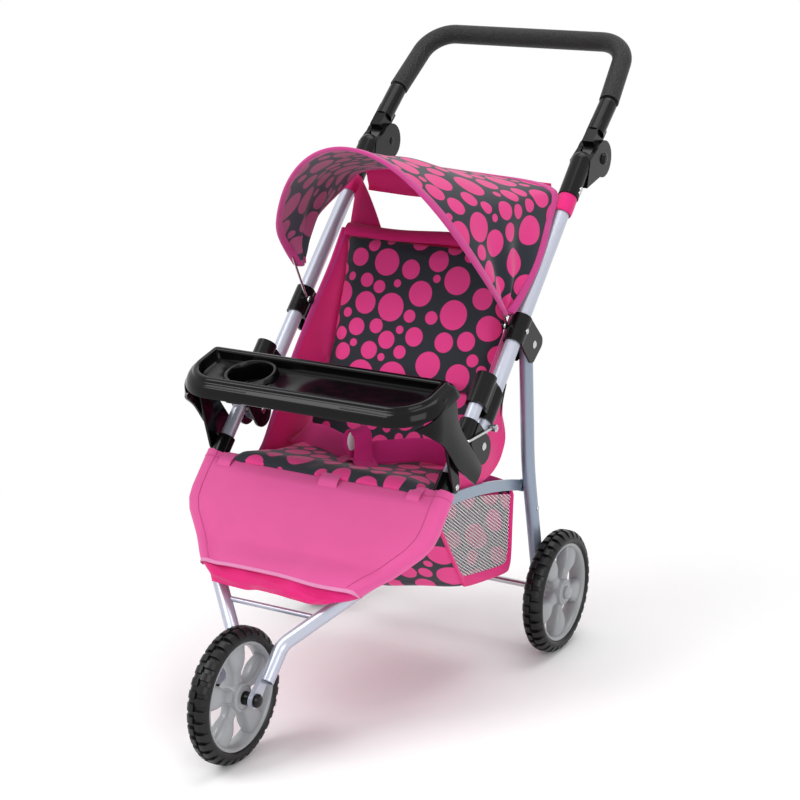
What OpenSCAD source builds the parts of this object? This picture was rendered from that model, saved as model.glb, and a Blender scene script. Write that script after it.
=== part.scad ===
// Folding three-wheel doll stroller with a canopy, a play tray and a storage basket.
// Millimetres, +Z up. The front faces -Y, and +X is the child's left.
// The origin is on the floor, below the middle of the stroller's outline.

/* [Wheels] */
// Outside diameter of each tyre
wheel_d = 150; // [140:1:160]
// Width of each tyre
tyre_w = 26; // [22:1:27]
// Height of the tyre's section above the rim
tyre_h = 14.5; // [12:0.5:18]
// Width of the rim
rim_w = 20; // [16:1:21]
// Depth of the rim's outer ring
rim_ring = 9; // [7:0.5:12]
// Distance from the front axle to the rear axle
wheel_base = 445; // [435:1:460]
// Gap between a rear leg's foot and the hub of its wheel
rear_gap = 2.5; // [1.5:0.1:10]
// Diameter of both axles
axle_d = 8; // [6:0.5:9]
// Diameter of each wheel's hub
hub_d = 32; // [28:1:36]
// Length of each wheel's hub
hub_len = 26; // [24:1:30]
// Number of spokes in a wheel
spoke_count = 5; // [4:1:7]
// Width of one spoke
spoke_w = 16; // [10:1:18]

/* [Frame tubes] */
// Diameter of the two upper tubes
upper_d = 18; // [16:0.5:19]
// Diameter of the two lower tubes
lower_d = 16; // [14:0.5:17]
// Diameter of the two rear legs
leg_d = 16; // [14:0.5:17]
// Wall of every tube
tube_wall = 1.2; // [1:0.1:2]
// Distance from the middle plane to the tubes
frame_half = 146; // [144:0.5:147]
// Angle of the upper tubes above the floor
rake = 46.6; // [45:0.1:48]
// Distance between the upper and lower tubes' axes
tube_gap = 29; // [28:0.5:31]
// Fold pivot behind the front axle
fold_back = 263.5; // [260:0.5:267]
// Fold pivot above the axles
fold_rise = 230; // [226:0.5:234]
// Length of an upper tube above the fold pivot
upper_len = 378; // [376:1:382]
// Length of an upper tube below the fold pivot
upper_tail = 11; // [9:0.5:12]
// Length of a lower tube's stub above the fold pivot
stub_len = 34; // [32:0.5:36]
// Distance of the lower tube's knee below the fold pivot
knee_along = 140; // [136:1:146]
// Half of the distance between the lower tubes at the fork
fork_half = 31; // [29:0.5:34]
// Fork bend above and behind the front axle
fork_rise = 46.5; // [42:0.5:52]
// Thickness of the fork's flat ends
fork_end_t = 5; // [4:0.5:6]
// Diameter of the cross brace
brace_d = 6; // [5:0.5:8]
// Place of the cross brace between fork bend and knee
brace_at = 0.27; // [0.22:0.01:0.4]
// Inward lean of the rear legs' feet
foot_in = 4.5; // [4:0.5:6]
// Rearward bow of the rear legs
leg_bow = 11.5; // [6:0.5:14]

/* [Leg clamps and links] */
// Distance of the leg clamps above the fold pivot
clamp_along = 149.5; // [146:0.5:154]
// Length of a leg clamp's collar
clamp_len = 35; // [32:1:38]
// Wall of the moulded collars
collar_wall = 2.7; // [2.2:0.1:3]
// Leg pivot behind the upper tube's axis
leg_offset = 29.3; // [28:0.1:31]
// Thickness of the clamps' and brackets' cheeks
cheek_t = 2.7; // [2.2:0.1:3]
// Diameter of the pivot pins
pin_d = 6; // [5:0.5:7]
// Diameter of the rivets
rivet_d = 4; // [3:0.5:5]
// Depth of a side link
link_h = 13; // [11:0.5:15]
// Thickness of a side link
link_t = 3.5; // [3:0.1:3.8]
// Rise of a side link's arch
link_arch = 9; // [4:0.5:14]
// Side link's pivot on the lower tube, below the fold pivot
link_along = 102; // [98:1:108]
// Side link's place on the rear leg, above the axles
link_rise = 139; // [134:1:144]

/* [Fold lock] */
// Diameter of the sleeve's front lobe
lobe_d = 24; // [22:0.5:25]
// Length of the sleeve's front lobe
lobe_len = 38; // [34:1:42]
// Distance of the latch bolt above the fold pivot
bolt_along = 24; // [23.5:0.1:25]
// Diameter of the latch bolt
bolt_d = 5; // [4:0.5:5]
// Diameter of the latch wire
wire_d = 3; // [2.5:0.1:3.2]

/* [Handle] */
// Handle pivot above the ends of the upper tubes
handle_past = 29; // [27:0.5:32]
// Handle pivot behind the upper tube's axis
handle_offset = 25; // [24:0.5:27]
// Radius of the joint's discs
disc_r = 22; // [20:0.5:23]
// Width of the joint's middle barrel
barrel_w = 14.4; // [12:0.2:16]
// Angle of the handle above the floor
handle_pitch = 40.6; // [38:0.1:44]
// Handle bar in front of the handle pivot
bar_offset = 21; // [20:0.5:23]
// Reach of the handle from its pivot to the grip
handle_reach = 168; // [160:1:180]
// Inward lean of the handle's corners
grip_in = 10; // [6:1:16]
// Radius of the handle's corners
grip_bend = 38; // [32:1:46]
// Diameter of the foam grip
grip_d = 24; // [22:0.5:26]

/* [Play tray] */
// Overhang of the tray past the tubes' axes
tray_over = 6; // [3:0.5:7]
// Depth of the tray from back to front
tray_depth = 72; // [66:1:80]
// Height of the tray's rim above the axles
tray_rise = 321; // [317:1:326]
// Back edge of the tray in front of the fold pivot
tray_ahead = 68; // [66:1:72]
// Downward tilt of the tray towards the front
tray_tilt = 14; // [10:1:16]
// Depth of the tray's skirt
tray_skirt = 24; // [20:1:28]
// Depth of the tray's recess
tray_recess = 12; // [8:1:14]
// Width of the tray's rim
tray_rim = 7; // [5:0.5:9]
// Radius of the tray's front corners
tray_corner = 40; // [30:1:50]
// Wall of the tray
tray_wall = 2.5; // [2:0.1:3]
// Inside radius of the cup holder
cup_r = 25; // [20:1:27]
// Depth of the cup holder below the recess
cup_depth = 16; // [10:1:20]

/* [Seat and fabric] */
// Gap from the tubes' axes to the seat's edges
seat_in = 20; // [18:1:28]
// Thickness of the seat's padding
seat_t = 12; // [8:1:14]
// Angle of the seat back above the floor
back_lean = 70; // [68:1:73]
// Length of the seat back's padding
back_len = 190; // [180:1:200]
// Thickness of the seat back's padding
back_t = 8; // [6:1:10]
// Thickness of the plain fabric sheets
cloth_t = 2; // [1.5:0.1:2.5]
// Overhang of the leg panel past the tubes' axes
panel_over = 6; // [2:1:8]
// Half of the leg panel's width at its bottom
panel_foot_half = 64; // [58:1:72]
// Depth of the storage basket
basket_drop = 110; // [90:1:114]
// Gap from the tubes' axes to the storage basket's sides
basket_in = 15; // [15:0.5:22]

/* [Canopy] */
// Gap from the tubes' axes to the foot of the canopy
canopy_in = 6; // [5:0.5:10]
// Reach of the canopy's bow from its pivot
canopy_reach = 224; // [210:1:235]
// Angle of the bow's foot above the floor
canopy_pitch = 43.3; // [40:0.1:48]
// Crown of the bow above its foot's plane
canopy_crown = 60; // [50:1:68]
// Gap from the tubes' axes to the rear edge of the canopy
canopy_rear_in = 12; // [11.5:0.5:16]
// Reach of the canopy along the upper tubes
canopy_rear_reach = 168; // [160:1:172]
// Crown of the canopy's rear edge
canopy_rear_crown = 20; // [10:1:30]
// Diameter of the bow wire
bow_d = 3; // [2.5:0.1:4]

/* [Hidden] */

$fn = 48;
run_gap = 0.05;      // radial gap round a pin or shaft that turns or slides
seat_gap = 0.3;      // gap between faces of different bodies
sharp_fn = 32;       // facets of the rounded corners that hull() makes
lap = 0.4;           // overlap of a tube's straight runs and its bends
hair = 0.01;         // extra radius of a tube's straight runs

silver = [0.75, 0.77, 0.82];
steel_blue = [0.55, 0.60, 0.66];
black = [0.08, 0.08, 0.08];
bright = [0.85, 0.85, 0.85];
rim_grey = [0.53, 0.53, 0.55];
hot_pink = [0.88, 0.12, 0.45];
soft_pink = [0.90, 0.40, 0.66];
slate = [0.16, 0.21, 0.26];

wheel_r = wheel_d / 2;
rim_r = wheel_r - tyre_h;
front_y = -wheel_base / 2;
rear_y = wheel_base / 2;
axle_z = wheel_r;
pivot_y = front_y + fold_back;
pivot_z = axle_z + fold_rise;

// A point s along the upper tubes from the fold pivot, t in front of their axis
function along(s, t = 0, x = 0) =
    [x, pivot_y + s * cos(rake) - t * sin(rake), pivot_z + s * sin(rake) + t * cos(rake)];
function yz(p) = [p[1], p[2]];
function unit(v) = v / norm(v);
function mix(a, b, k) = a + (b - a) * k;

foot_half = frame_half - foot_in;
grip_half = frame_half - grip_in;
handle_along = upper_len + handle_past;
tray_half = frame_half + tray_over;
seat_half = frame_half - seat_in;
panel_half = frame_half + panel_over;
basket_half = frame_half - basket_in;
canopy_half = frame_half - canopy_in;
canopy_rear_half = frame_half - canopy_rear_in;
rear_wheel_x = foot_half + leg_d / 2 + rear_gap + hub_len / 2;

leg_top = along(clamp_along, -leg_offset, frame_half);
leg_foot = [foot_half, rear_y, axle_z];
leg_bend = mix(leg_top, leg_foot, 0.48) - [0, leg_bow, 0];
leg_over = leg_d / 2 + 1;      // tube past the leg's pivot and its axle
handle_pivot = along(handle_along, -handle_offset, frame_half);
// A point r along the handle from its pivot, on the bar's own axis
function handle_at(r, x = 0) = [
    x,
    handle_pivot[1] + r * cos(handle_pitch) - bar_offset * sin(handle_pitch),
    handle_pivot[2] + r * sin(handle_pitch) + bar_offset * cos(handle_pitch)
];
back_y = handle_at(handle_reach)[1] + grip_d / 2;
mid_y = (back_y + front_y - wheel_r) / 2;

knee = along(-knee_along, tube_gap, frame_half);
fork_bend = [fork_half, front_y + fork_rise, axle_z + fork_rise];
fork_end_x = fork_half - lower_d / 2 + fork_end_t / 2;
fork_eye_d = lower_d + 2;
knee_bend_r = 45;
fork_bend_r = 24;
axle_cap_t = 5.5;

collar_d = upper_d + 2 * collar_wall;
bracket_d = lower_d + 2 * collar_wall;
bracket_low = -13;
bracket_high = 14;
clamp_slot = leg_d + 2 * seat_gap;
fold_slot = upper_d + 2 * seat_gap;
clamp_out = clamp_slot / 2 + cheek_t;
fold_out = fold_slot / 2 + cheek_t;
ear_r = 17;

sleeve_low = stub_len + seat_gap;
sleeve_high = sleeve_low + lobe_len;
rear_lobe_low = bolt_along + bolt_d + 0.5;
sleeve_slant = 38;
wire_x = fold_out + 0.5 + wire_d / 2;
hook_s = bracket_low - wire_d;
hook_t = tube_gap + lower_d / 2 + 4;

socket_d = upper_d + 7;
socket_low = upper_len - 45;
socket_high = handle_along - handle_offset + 1;
cheek_in = barrel_w / 2 + seat_gap;
disc_t = 5.8;
hub_d_out = upper_d + 4;
hub_low = disc_r - 1.5;
hub_high = hub_low + 46;
bar_low = hub_low + 2;

tray_back = pivot_y - tray_ahead;
tray_top = axle_z + tray_rise;
tray_clip = -66;
tray_clip_len = 22;
clip_d = lower_d + 5;
post_in = frame_half + clip_d / 2 + seat_gap;
post_t = 3.5;

link_k = (leg_bend[2] - axle_z - link_rise) / (leg_bend[2] - axle_z);
leg_at_link = mix(leg_bend, leg_foot, link_k);
link_in = basket_half + seat_gap;
link_front = along(-link_along, tube_gap, link_in);
link_rear = [link_in, leg_at_link[1], leg_at_link[2]];

panel_t = tube_gap + lower_d / 2 + 1.5;
panel_top = -88;
panel_low = -236;
panel_kick = 22;
back_foot = [pivot_y + 106, pivot_z + 13];
base_rear = pivot_y + 69;
base_top = pivot_z - 51;
canopy_pivot = along(clamp_along + 1.5, 4);
canopy_tip = along(clamp_along + 3.8, 18.4);

// ---- helpers ----

// Builds a part made for the +X side on either side, and sets it over the origin
module on_side(side) translate([0, -mid_y, 0]) mirror([side < 0 ? 1 : 0, 0, 0]) children();
module over_origin() translate([0, -mid_y, 0]) children();
module both_sides() for (side = [1, -1]) on_side(side) children();

// Local +Z runs up the upper tube, and local +Y is behind it
module at_tube(s = 0, t = 0) translate(along(s, t, frame_half)) rotate([rake - 90, 0, 0]) children();
module at_handle(r = 0) translate(handle_at(r, frame_half)) rotate([handle_pitch - 90, 0, 0]) children();

// A cylinder along X from x0 to x1
module bar_x(d, x0, x1) translate([x0, 0, 0]) rotate([0, 90, 0]) cylinder(d = d, h = x1 - x0);
// A flat plate in the YZ plane from x0 to x1, with its outline's first axis along Y
module plate_x(x0, x1) translate([x0, 0, 0]) rotate([90, 0, 90]) linear_extrude(x1 - x0) children();

// A straight rod or pipe from a to b
module straight(a, b, d, wall = 0) {
    v = b - a;
    translate(a) rotate([0, acos(v[2] / norm(v)), atan2(v[1], v[0])]) linear_extrude(norm(v))
        section(d, wall);
}
module section(d, wall) difference() {
    circle(d = d);
    if (wall > 0) circle(d = d - 2 * wall);
}

function turn(p, i) = acos(min(1, unit(p[i] - p[i - 1]) * unit(p[i + 1] - p[i])));
function trim(p, i, r) = (i == 0 || i == len(p) - 1) ? 0 : r[i] * tan(turn(p, i) / 2);

// One bend at point i of a path, as an exact piece of a torus
module bend(p, i, r, d, wall) {
    d1 = unit(p[i] - p[i - 1]);
    d2 = unit(p[i + 1] - p[i]);
    n1 = unit(d2 - (d1 * d2) * d1);
    w = cross(-n1, d1);
    start = p[i] - d1 * trim(p, i, r);
    centre = start + n1 * r[i];
    multmatrix([
        [-n1[0], d1[0], w[0], centre[0]],
        [-n1[1], d1[1], w[1], centre[1]],
        [-n1[2], d1[2], w[2], centre[2]],
        [0, 0, 0, 1]
    ])
        rotate_extrude(angle = turn(p, i)) translate([r[i], 0]) section(d, wall);
}

// A tube that follows the points of p, with radius r[i] at point i.
// Its straight runs are a hair thicker than its bends, and each bend ends inside them.
module bent(p, r, d, wall = 0) {
    last = len(p) - 1;
    for (i = [0 : last - 1]) {
        dir = unit(p[i + 1] - p[i]);
        from = p[i] + dir * (trim(p, i, r) - (i > 0 ? lap : 0));
        to = p[i + 1] - dir * (trim(p, i + 1, r) - (i + 1 < last ? lap : 0));
        straight(from, to, d + 2 * hair, wall > 0 ? wall + 2 * hair : 0);
    }
    for (i = [1 : 1 : last - 1]) bend(p, i, r, d, wall);
}

// A flat-based rivet head that stands on x0 and points to +X
module rivet_head(x0, d) translate([x0, 0, 0]) rotate([0, 90, 0]) rotate_extrude()
    polygon([[0, 0], [d / 2, 0], [d / 2, 0.5], [d * 0.36, 1.3], [0, 1.6]]);

// ---- lower frame ----

module lower_tube(side) color(silver) on_side(side) difference() {
    union() {
        bent(
            [along(stub_len, tube_gap, frame_half), knee, fork_bend, fork_end()],
            [0, knee_bend_r, fork_bend_r, 0], lower_d, tube_wall
        );
        fork_tip();
    }
    translate([0, front_y, axle_z]) bar_x(axle_d + 2 * run_gap, 0, fork_half + lower_d);
}
function fork_end() = mix(fork_bend, [fork_half, front_y, axle_z], 0.66);
module fork_tip() plate_x(fork_end_x - fork_end_t / 2, fork_end_x + fork_end_t / 2) hull() {
    translate([front_y, axle_z]) circle(d = fork_eye_d, $fn = sharp_fn);
    translate(yz(mix(fork_end(), fork_bend, 0.25))) circle(d = lower_d - 4, $fn = sharp_fn);
}

module fork_brace() color(silver) over_origin() difference() {
    p = mix(fork_bend, knee, brace_at);
    translate([0, p[1], p[2]]) bar_x(brace_d, -p[0], p[0]);
    for (side = [1, -1]) mirror([side < 0 ? 1 : 0, 0, 0])
        straight(fork_bend, knee, lower_d + 2 * seat_gap);
}

module front_axle() color(bright) translate([0, front_y - mid_y, axle_z]) {
    reach = fork_end_x + fork_end_t / 2 + axle_cap_t * 0.7;
    bar_x(axle_d, -reach, reach);
}

module front_spacers() color(black) both_sides() translate([0, front_y, axle_z]) difference() {
    bar_x(axle_d + 7, hub_len / 2 + seat_gap, fork_end_x - fork_end_t / 2 - run_gap);
    bar_x(axle_d + 2 * run_gap, 0, fork_half);
}

module front_axle_caps() color(black) both_sides() translate([0, front_y, axle_z])
    cap_x(fork_end_x + fork_end_t / 2 + run_gap, axle_d + 7, axle_cap_t);

// A domed cap with a blind hole for the axle, from x0 outwards
module cap_x(x0, d, t) difference() {
    translate([x0, 0, 0]) rotate([0, 90, 0]) rotate_extrude()
        polygon([[0, 0], [d / 2, 0], [d / 2, t * 0.45], [d * 0.38, t * 0.85], [d * 0.15, t], [0, t]]);
    bar_x(axle_d + 2 * run_gap, 0, x0 + t * 0.7 + run_gap);
}

module fold_bracket(side) color(black) on_side(side) difference() {
    union() {
        at_tube(bracket_low, tube_gap) cylinder(d = bracket_d, h = bracket_high - bracket_low);
        for (x0 = [-fold_out, fold_slot / 2]) at_tube() plate_x(x0, x0 + cheek_t) hull() {
            translate([2, -3]) circle(r = ear_r, $fn = sharp_fn);
            translate([-tube_gap, bracket_low]) square([4, bracket_high - bracket_low]);
        }
    }
    at_tube(bracket_low - 1, tube_gap)
        cylinder(d = lower_d + 2 * run_gap, h = bracket_high - bracket_low + 2);
    at_tube() bar_x(pin_d + 2 * run_gap, -fold_out - 1, fold_out + 1);
}

module fold_pivot_pins() color(bright) both_sides() at_tube() pivot_rivet(fold_out);

// A pin along X with a head on each side of a joint that is 2 * out wide
module pivot_rivet(out) {
    bar_x(pin_d, -out - 1, out + 1);
    rivet_head(out + run_gap, pin_d * 1.5);
    mirror([1, 0, 0]) rivet_head(out + run_gap, pin_d * 1.5);
}

module tray_bracket(side) color(black) on_side(side) at_tube(tray_clip, tube_gap) difference() {
    cylinder(d = clip_d, h = tray_clip_len, center = true);
    cylinder(d = lower_d + 2 * run_gap, h = tray_clip_len + 2, center = true);
    bar_x(rivet_d + 2 * run_gap, lower_d / 2 + 0.6, clip_d);
}

module tray_rivets() color(bright) both_sides() at_tube(tray_clip, tube_gap) {
    bar_x(rivet_d, lower_d / 2 + 0.8, post_in - frame_half + post_t + 0.5);
    rivet_head(post_in - frame_half + post_t + run_gap, rivet_d * 1.7);
}

module tray_outline() hull() for (side = [-1, 1]) {
    translate([side * (tray_half - tray_corner), tray_corner - tray_depth])
        circle(r = tray_corner, $fn = 64);
    translate([side * (tray_half - 4), -4]) circle(r = 4, $fn = sharp_fn);
}
cup_at = [-80, -38];
wing_lean = 6.2;

module tray() color(black) over_origin() {
    translate([0, tray_back, tray_top]) rotate([tray_tilt, 0, 0]) tray_dish();
    for (side = [-1, 1]) mirror([side < 0 ? 1 : 0, 0, 0]) {
        tray_wing();
        tray_post();
    }
}
module tray_dish() {
    floor_z = -tray_recess - tray_wall;
    difference() {
        translate([0, 0, -tray_skirt]) linear_extrude(tray_skirt) tray_outline();
        translate([0, -tray_rim / 2, -tray_recess]) linear_extrude(tray_recess + 1)
            scaled_outline(tray_rim);
        translate([0, -tray_wall / 2, -tray_skirt - 1])
            linear_extrude(tray_skirt + 1 + floor_z) scaled_outline(tray_wall);
        translate(concat(cup_at, [-tray_skirt - 1])) cylinder(r = cup_r, h = tray_skirt + 2);
    }
    translate(concat(cup_at, [-tray_recess - cup_depth])) difference() {
        cylinder(r = cup_r + tray_wall, h = cup_depth + 3);
        translate([0, 0, tray_wall]) cylinder(r = cup_r, h = cup_depth + 4);
    }
}
module scaled_outline(inset) hull() for (side = [-1, 1]) {
    translate([side * (tray_half - tray_corner), tray_corner - tray_depth + inset / 2])
        circle(r = tray_corner - inset, $fn = 64);
    translate([side * (tray_half - inset - 2), -inset / 2 - 2]) circle(r = 2, $fn = sharp_fn);
}
module tray_wing() translate([tray_half - tray_wall, tray_back, tray_top - 10]) rotate([0, -wing_lean, 0])
    plate_x(0, tray_wall) polygon([
        [-2, 4], [1, -37], [50, -98], [31, -113], [-3, -84], [-27, -53], [-48, -39], [-48, -8]
    ]);
module tray_post() {
    foot = yz(along(tray_clip, tube_gap));
    plate_x(post_in, post_in + post_t) difference() {
        hull() {
            translate(foot) circle(d = 15, $fn = sharp_fn);
            translate([tray_back - 22, tray_top - 30]) circle(d = 24, $fn = sharp_fn);
        }
        translate(foot) circle(d = rivet_d + 2 * run_gap);
    }
    // Shelf that carries the post under the tray's side
    translate([tray_half - 8, tray_back - 34, tray_top - 34])
        cube([post_in + post_t - tray_half + 8, 24, 8]);
}

module seat_base() color(slate) over_origin() plate_x(-seat_half, seat_half) polygon([
    yz(base_front),
    yz(along(panel_top - seat_t, panel_t - seat_gap)),
    base_dip - [0, seat_t],
    [base_rear, base_top - seat_t],
    [base_rear, base_top],
    base_dip
]);

// Lap belts and crotch strap, lying on the seat
strap_w = 25;
strap_t = 2;
module harness() color(hot_pink) over_origin() {
    for (side = [-1, 1]) hull() {
        strap_end(side * 108, base_rear - 18, base_rear - 5, [6, strap_w, strap_t]);
        strap_end(side * 15, base_rear - 62, base_rear - 75, [6, strap_w, strap_t]);
    }
    hull() {
        strap_end(0, base_rear - 120, base_rear - 123, [strap_w - 2, 6, strap_t]);
        strap_end(0, base_rear - 82, base_rear - 85, [strap_w - 2, 6, strap_t]);
    }
}
// End of a strap at (x, y) that rests on the seat base at its own edge y_edge
module strap_end(x, y, y_edge, size)
    translate([x, y, base_z(y_edge) + seat_gap + size[2] / 2]) cube(size, center = true);
base_front = along(panel_top, panel_t - seat_gap);
base_dip = [base_rear - 50, base_top - 2];
function base_z(y) = y > base_dip[0]
    ? mix(base_dip[1], base_top, (y - base_dip[0]) / (base_rear - base_dip[0]))
    : mix(base_dip[1], base_front[2], (base_dip[0] - y) / (base_dip[0] - base_front[1]));

module leg_panel() color(soft_pink) over_origin() translate(along(0, 0)) rotate([rake - 90, 0, 0])
    intersection() {
        plate_x(-panel_half, panel_half) polygon([
            [-panel_t, panel_top], [-panel_t, panel_low + 46], [-panel_t - panel_kick, panel_low],
            [-panel_t - panel_kick - cloth_t, panel_low], [-panel_t - cloth_t, panel_low + 47],
            [-panel_t - cloth_t, panel_top]
        ]);
        translate([0, -10, 0]) rotate([90, 0, 0]) linear_extrude(100) polygon([
            [-panel_half, panel_top], [panel_half, panel_top], [panel_half - 2, -knee_along + 6],
            [panel_foot_half, panel_low], [-panel_foot_half, panel_low],
            [2 - panel_half, -knee_along + 6]
        ]);
    }

// ---- upper frame ----

module upper_tube(side) color(silver) on_side(side) difference() {
    at_tube(-upper_tail) linear_extrude(upper_tail + upper_len) section(upper_d, tube_wall);
    at_tube() bar_x(pin_d + 2 * run_gap, -upper_d, upper_d);
    at_tube(bolt_along) bar_x(bolt_d + 2 * run_gap, -upper_d, upper_d);
    for (s = rivet_places) at_tube(s) bar_x(rivet_d + 2 * run_gap, 0, upper_d);
}
rivet_places = [clamp_along, socket_low + 12];

module leg_clamp(side) color(black) on_side(side) at_tube(clamp_along) difference() {
    union() {
        cylinder(d = collar_d, h = clamp_len, center = true);
        for (x0 = [-clamp_out, clamp_slot / 2]) plate_x(x0, x0 + cheek_t) hull() {
            square([8, clamp_len], center = true);
            translate([leg_offset + 9, clamp_len / 2 - 9]) circle(r = 9, $fn = sharp_fn);
            translate([leg_offset + 5, 6 - clamp_len / 2]) circle(r = 9, $fn = sharp_fn);
        }
    }
    cylinder(d = upper_d + 2 * run_gap, h = clamp_len + 2, center = true);
    translate([0, leg_offset, 0]) bar_x(pin_d + 2 * run_gap, -clamp_out - 1, clamp_out + 1);
    bar_x(rivet_d + 2 * run_gap, 0, collar_d);
}

// Rivets through the clamps and through the handle sockets
module clamp_rivets() color(bright) both_sides() {
    at_tube(rivet_places[0]) wall_rivet(collar_d / 2);
    at_tube(rivet_places[1]) wall_rivet(socket_d / 2);
}
module wall_rivet(out) {
    bar_x(rivet_d, upper_d / 2 - tube_wall, out + 0.2);
    translate([out - 0.3, 0, 0]) bar_x(rivet_d * 1.6, 0.4, 1.2);
}

module leg_pivot_rivets() color(bright) both_sides() at_tube(clamp_along, -leg_offset)
    pivot_rivet(clamp_out);

// Pins on the clamps' inner sides that the canopy bow turns on
knob_in = clamp_out + 5;
knob_pin_d = 4;
module canopy_knobs() color(black) both_sides()
    translate([frame_half, canopy_pivot[1], canopy_pivot[2]]) {
        bar_x(knob_pin_d, -knob_in, -collar_d / 2 * 0.98);
        bar_x(9, -knob_in - 1.5, -knob_in + 0.2);
    }

module latch_bolts() color(bright) both_sides() at_tube(bolt_along) {
    bar_x(bolt_d, -wire_x - wire_d / 2 - 1.5, wire_x + wire_d / 2 + 4.5);
    bar_x(bolt_d * 1.7, wire_x + wire_d / 2 + seat_gap, wire_x + wire_d / 2 + 3.3);
    bar_x(bolt_d * 1.7, -wire_x - wire_d / 2 - 2.5, -wire_x - wire_d / 2 - seat_gap);
}

module handle_socket(side) color(black) on_side(side) difference() {
    union() {
        at_tube(socket_low) cylinder(d = socket_d, h = socket_high - socket_low);
        at_tube(socket_high) sphere(d = socket_d);
        at_tube(handle_along, -handle_offset) for (x0 = [cheek_in, -cheek_in - disc_t]) {
            bar_x(2 * disc_r, x0, x0 + disc_t);
            plate_x(x0, x0 + disc_t) polygon([
                [-handle_offset - 4, -disc_r - 2], [-handle_offset + 12, -disc_r - 30],
                [8, -disc_r + 2], [-disc_r + 1, 2]
            ]);
        }
    }
    at_tube(socket_low - 1) cylinder(d = upper_d + 2 * run_gap, h = upper_len - socket_low + 1.5);
    at_tube(handle_along, -handle_offset) {
        bar_x(pin_d + 2 * run_gap, -30, 30);
        bar_x(2 * disc_r + 2 * seat_gap, -cheek_in, cheek_in);
    }
    at_tube(rivet_places[1]) bar_x(rivet_d + 2 * run_gap, 0, socket_d);
}

module handle_pivot_pins() color(black) both_sides() at_tube(handle_along, -handle_offset) {
    out = cheek_in + disc_t;
    bar_x(pin_d, -out - 1, out + 1);
    translate([out + run_gap, 0, 0]) rotate([0, 90, 0]) rotate_extrude()
        polygon([[0, 0], [7, 0], [6.4, 2.2], [4.4, 3.6], [0, 4]]);
    mirror([1, 0, 0]) rivet_head(out + run_gap, pin_d * 1.5);
}

back_dir = [cos(back_lean), sin(back_lean)];
back_normal = [sin(back_lean), -cos(back_lean)];
module seat_back() color(slate) over_origin() plate_x(-seat_half, seat_half) polygon([
    back_foot, back_foot + back_len * back_dir,
    back_foot + back_len * back_dir + back_t * back_normal, back_foot + back_t * back_normal
]);

module seat_crease() color(slate) over_origin() plate_x(-seat_half, seat_half) polygon([
    [base_rear + seat_gap, base_top], [base_rear + 14, base_top + 5],
    back_foot - [10, 30], back_foot - seat_gap * back_dir,
    back_foot + back_t * back_normal - seat_gap * back_dir, back_foot + [0, -42],
    [base_rear + 22, base_top - 8], [base_rear + seat_gap, base_top - seat_t]
]);

// Loops round the tops of the upper tubes that carry the seat back
strap_along = socket_low - 12;
module seat_straps() color(hot_pink) both_sides() {
    at_tube(strap_along) difference() {
        cylinder(d = upper_d + 2 * seat_gap + 2 * cloth_t, h = 20, center = true);
        cylinder(d = upper_d + 2 * seat_gap, h = 22, center = true);
    }
    top = back_foot + (back_len + seat_gap) * back_dir;
    hull() {
        translate([seat_half - 14, top[0] + 1, top[1]]) cube([12, 5, 1]);
        translate(along(strap_along - 8, -4, frame_half - upper_d / 2 - 2.2)) cube([1.8, 8, 8]);
    }
}

// Plain side panel between seat back, seat base and tube
module seat_side(side) color(hot_pink) on_side(side)
    plate_x(seat_half + seat_gap, seat_half + seat_gap + cloth_t) polygon([
        back_foot + (back_len - 4) * back_dir, back_foot + [8, 103], back_foot + [-46, 42],
        back_foot + [-93, -18], back_foot + [-115, -56], [base_rear - 105, base_top - 8],
        [base_rear, base_top - 8], [base_rear + 28, base_top + 20], [base_rear + 61, base_top + 126],
        back_foot + (back_len - 4) * back_dir + back_t * back_normal
    ]);

// ---- canopy ----

canopy_n = 26;
canopy_m = 8;
tip_angle = 9;
function sweep_angle(j) = tip_angle + (180 - 2 * tip_angle) * j / canopy_n;
// Point of the bow's arch at angle a
function bow_point(a) = let (h = canopy_reach * sin(a), b = canopy_crown * pow(sin(a), 2))
    canopy_tip + [
        canopy_half * cos(a),
        -h * cos(canopy_pitch) + b * sin(canopy_pitch),
        h * sin(canopy_pitch) + b * cos(canopy_pitch)
    ];
// Point of the rear edge at angle a, a square-shouldered arch between the tubes
function rear_point(a) = let (
        u = sign(cos(a)) * pow(abs(cos(a)), 0.45),
        h = canopy_rear_reach * pow(sin(a), 0.45),
        b = canopy_rear_crown * pow(sin(a), 2)
    )
    canopy_tip + [canopy_rear_half * u, h * cos(rake), h * sin(rake) + b];
canopy_core = along(clamp_along + 40, 30);
function inwards(p, d) = p + d * unit(canopy_core - p);
function canopy_point(i, j) = let (a = sweep_angle(j))
    mix(bow_point(a), rear_point(a), i / canopy_m);

// Outer and inner skins of a sheet, joined at their rims
module canopy_cover() color(slate) over_origin() {
    n = canopy_n + 1;
    skin = n * (canopy_m + 1);
    outer = [for (i = [0 : canopy_m]) for (j = [0 : canopy_n]) canopy_point(i, j)];
    inner = [for (p = outer) inwards(p, cloth_t)];
    quads = [for (i = [0 : canopy_m - 1]) for (j = [0 : canopy_n - 1])
        [i * n + j, i * n + j + 1, (i + 1) * n + j + 1, (i + 1) * n + j]];
    rim = concat(
        [for (j = [0 : canopy_n]) j],
        [for (i = [1 : canopy_m]) i * n + canopy_n],
        [for (j = [1 : canopy_n]) canopy_m * n + canopy_n - j],
        [for (i = [1 : canopy_m - 1]) (canopy_m - i) * n]
    );
    faces = concat(
        [for (q = quads) each [[q[0], q[1], q[2]], [q[0], q[2], q[3]]]],
        [for (q = quads) each [[q[2] + skin, q[1] + skin, q[0] + skin],
            [q[3] + skin, q[2] + skin, q[0] + skin]]],
        [for (k = [0 : len(rim) - 1]) let (a = rim[k], b = rim[(k + 1) % len(rim)])
            each [[b, a, a + skin], [b, a + skin, b + skin]]]
    );
    polyhedron(concat(outer, inner), faces);
}

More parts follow.
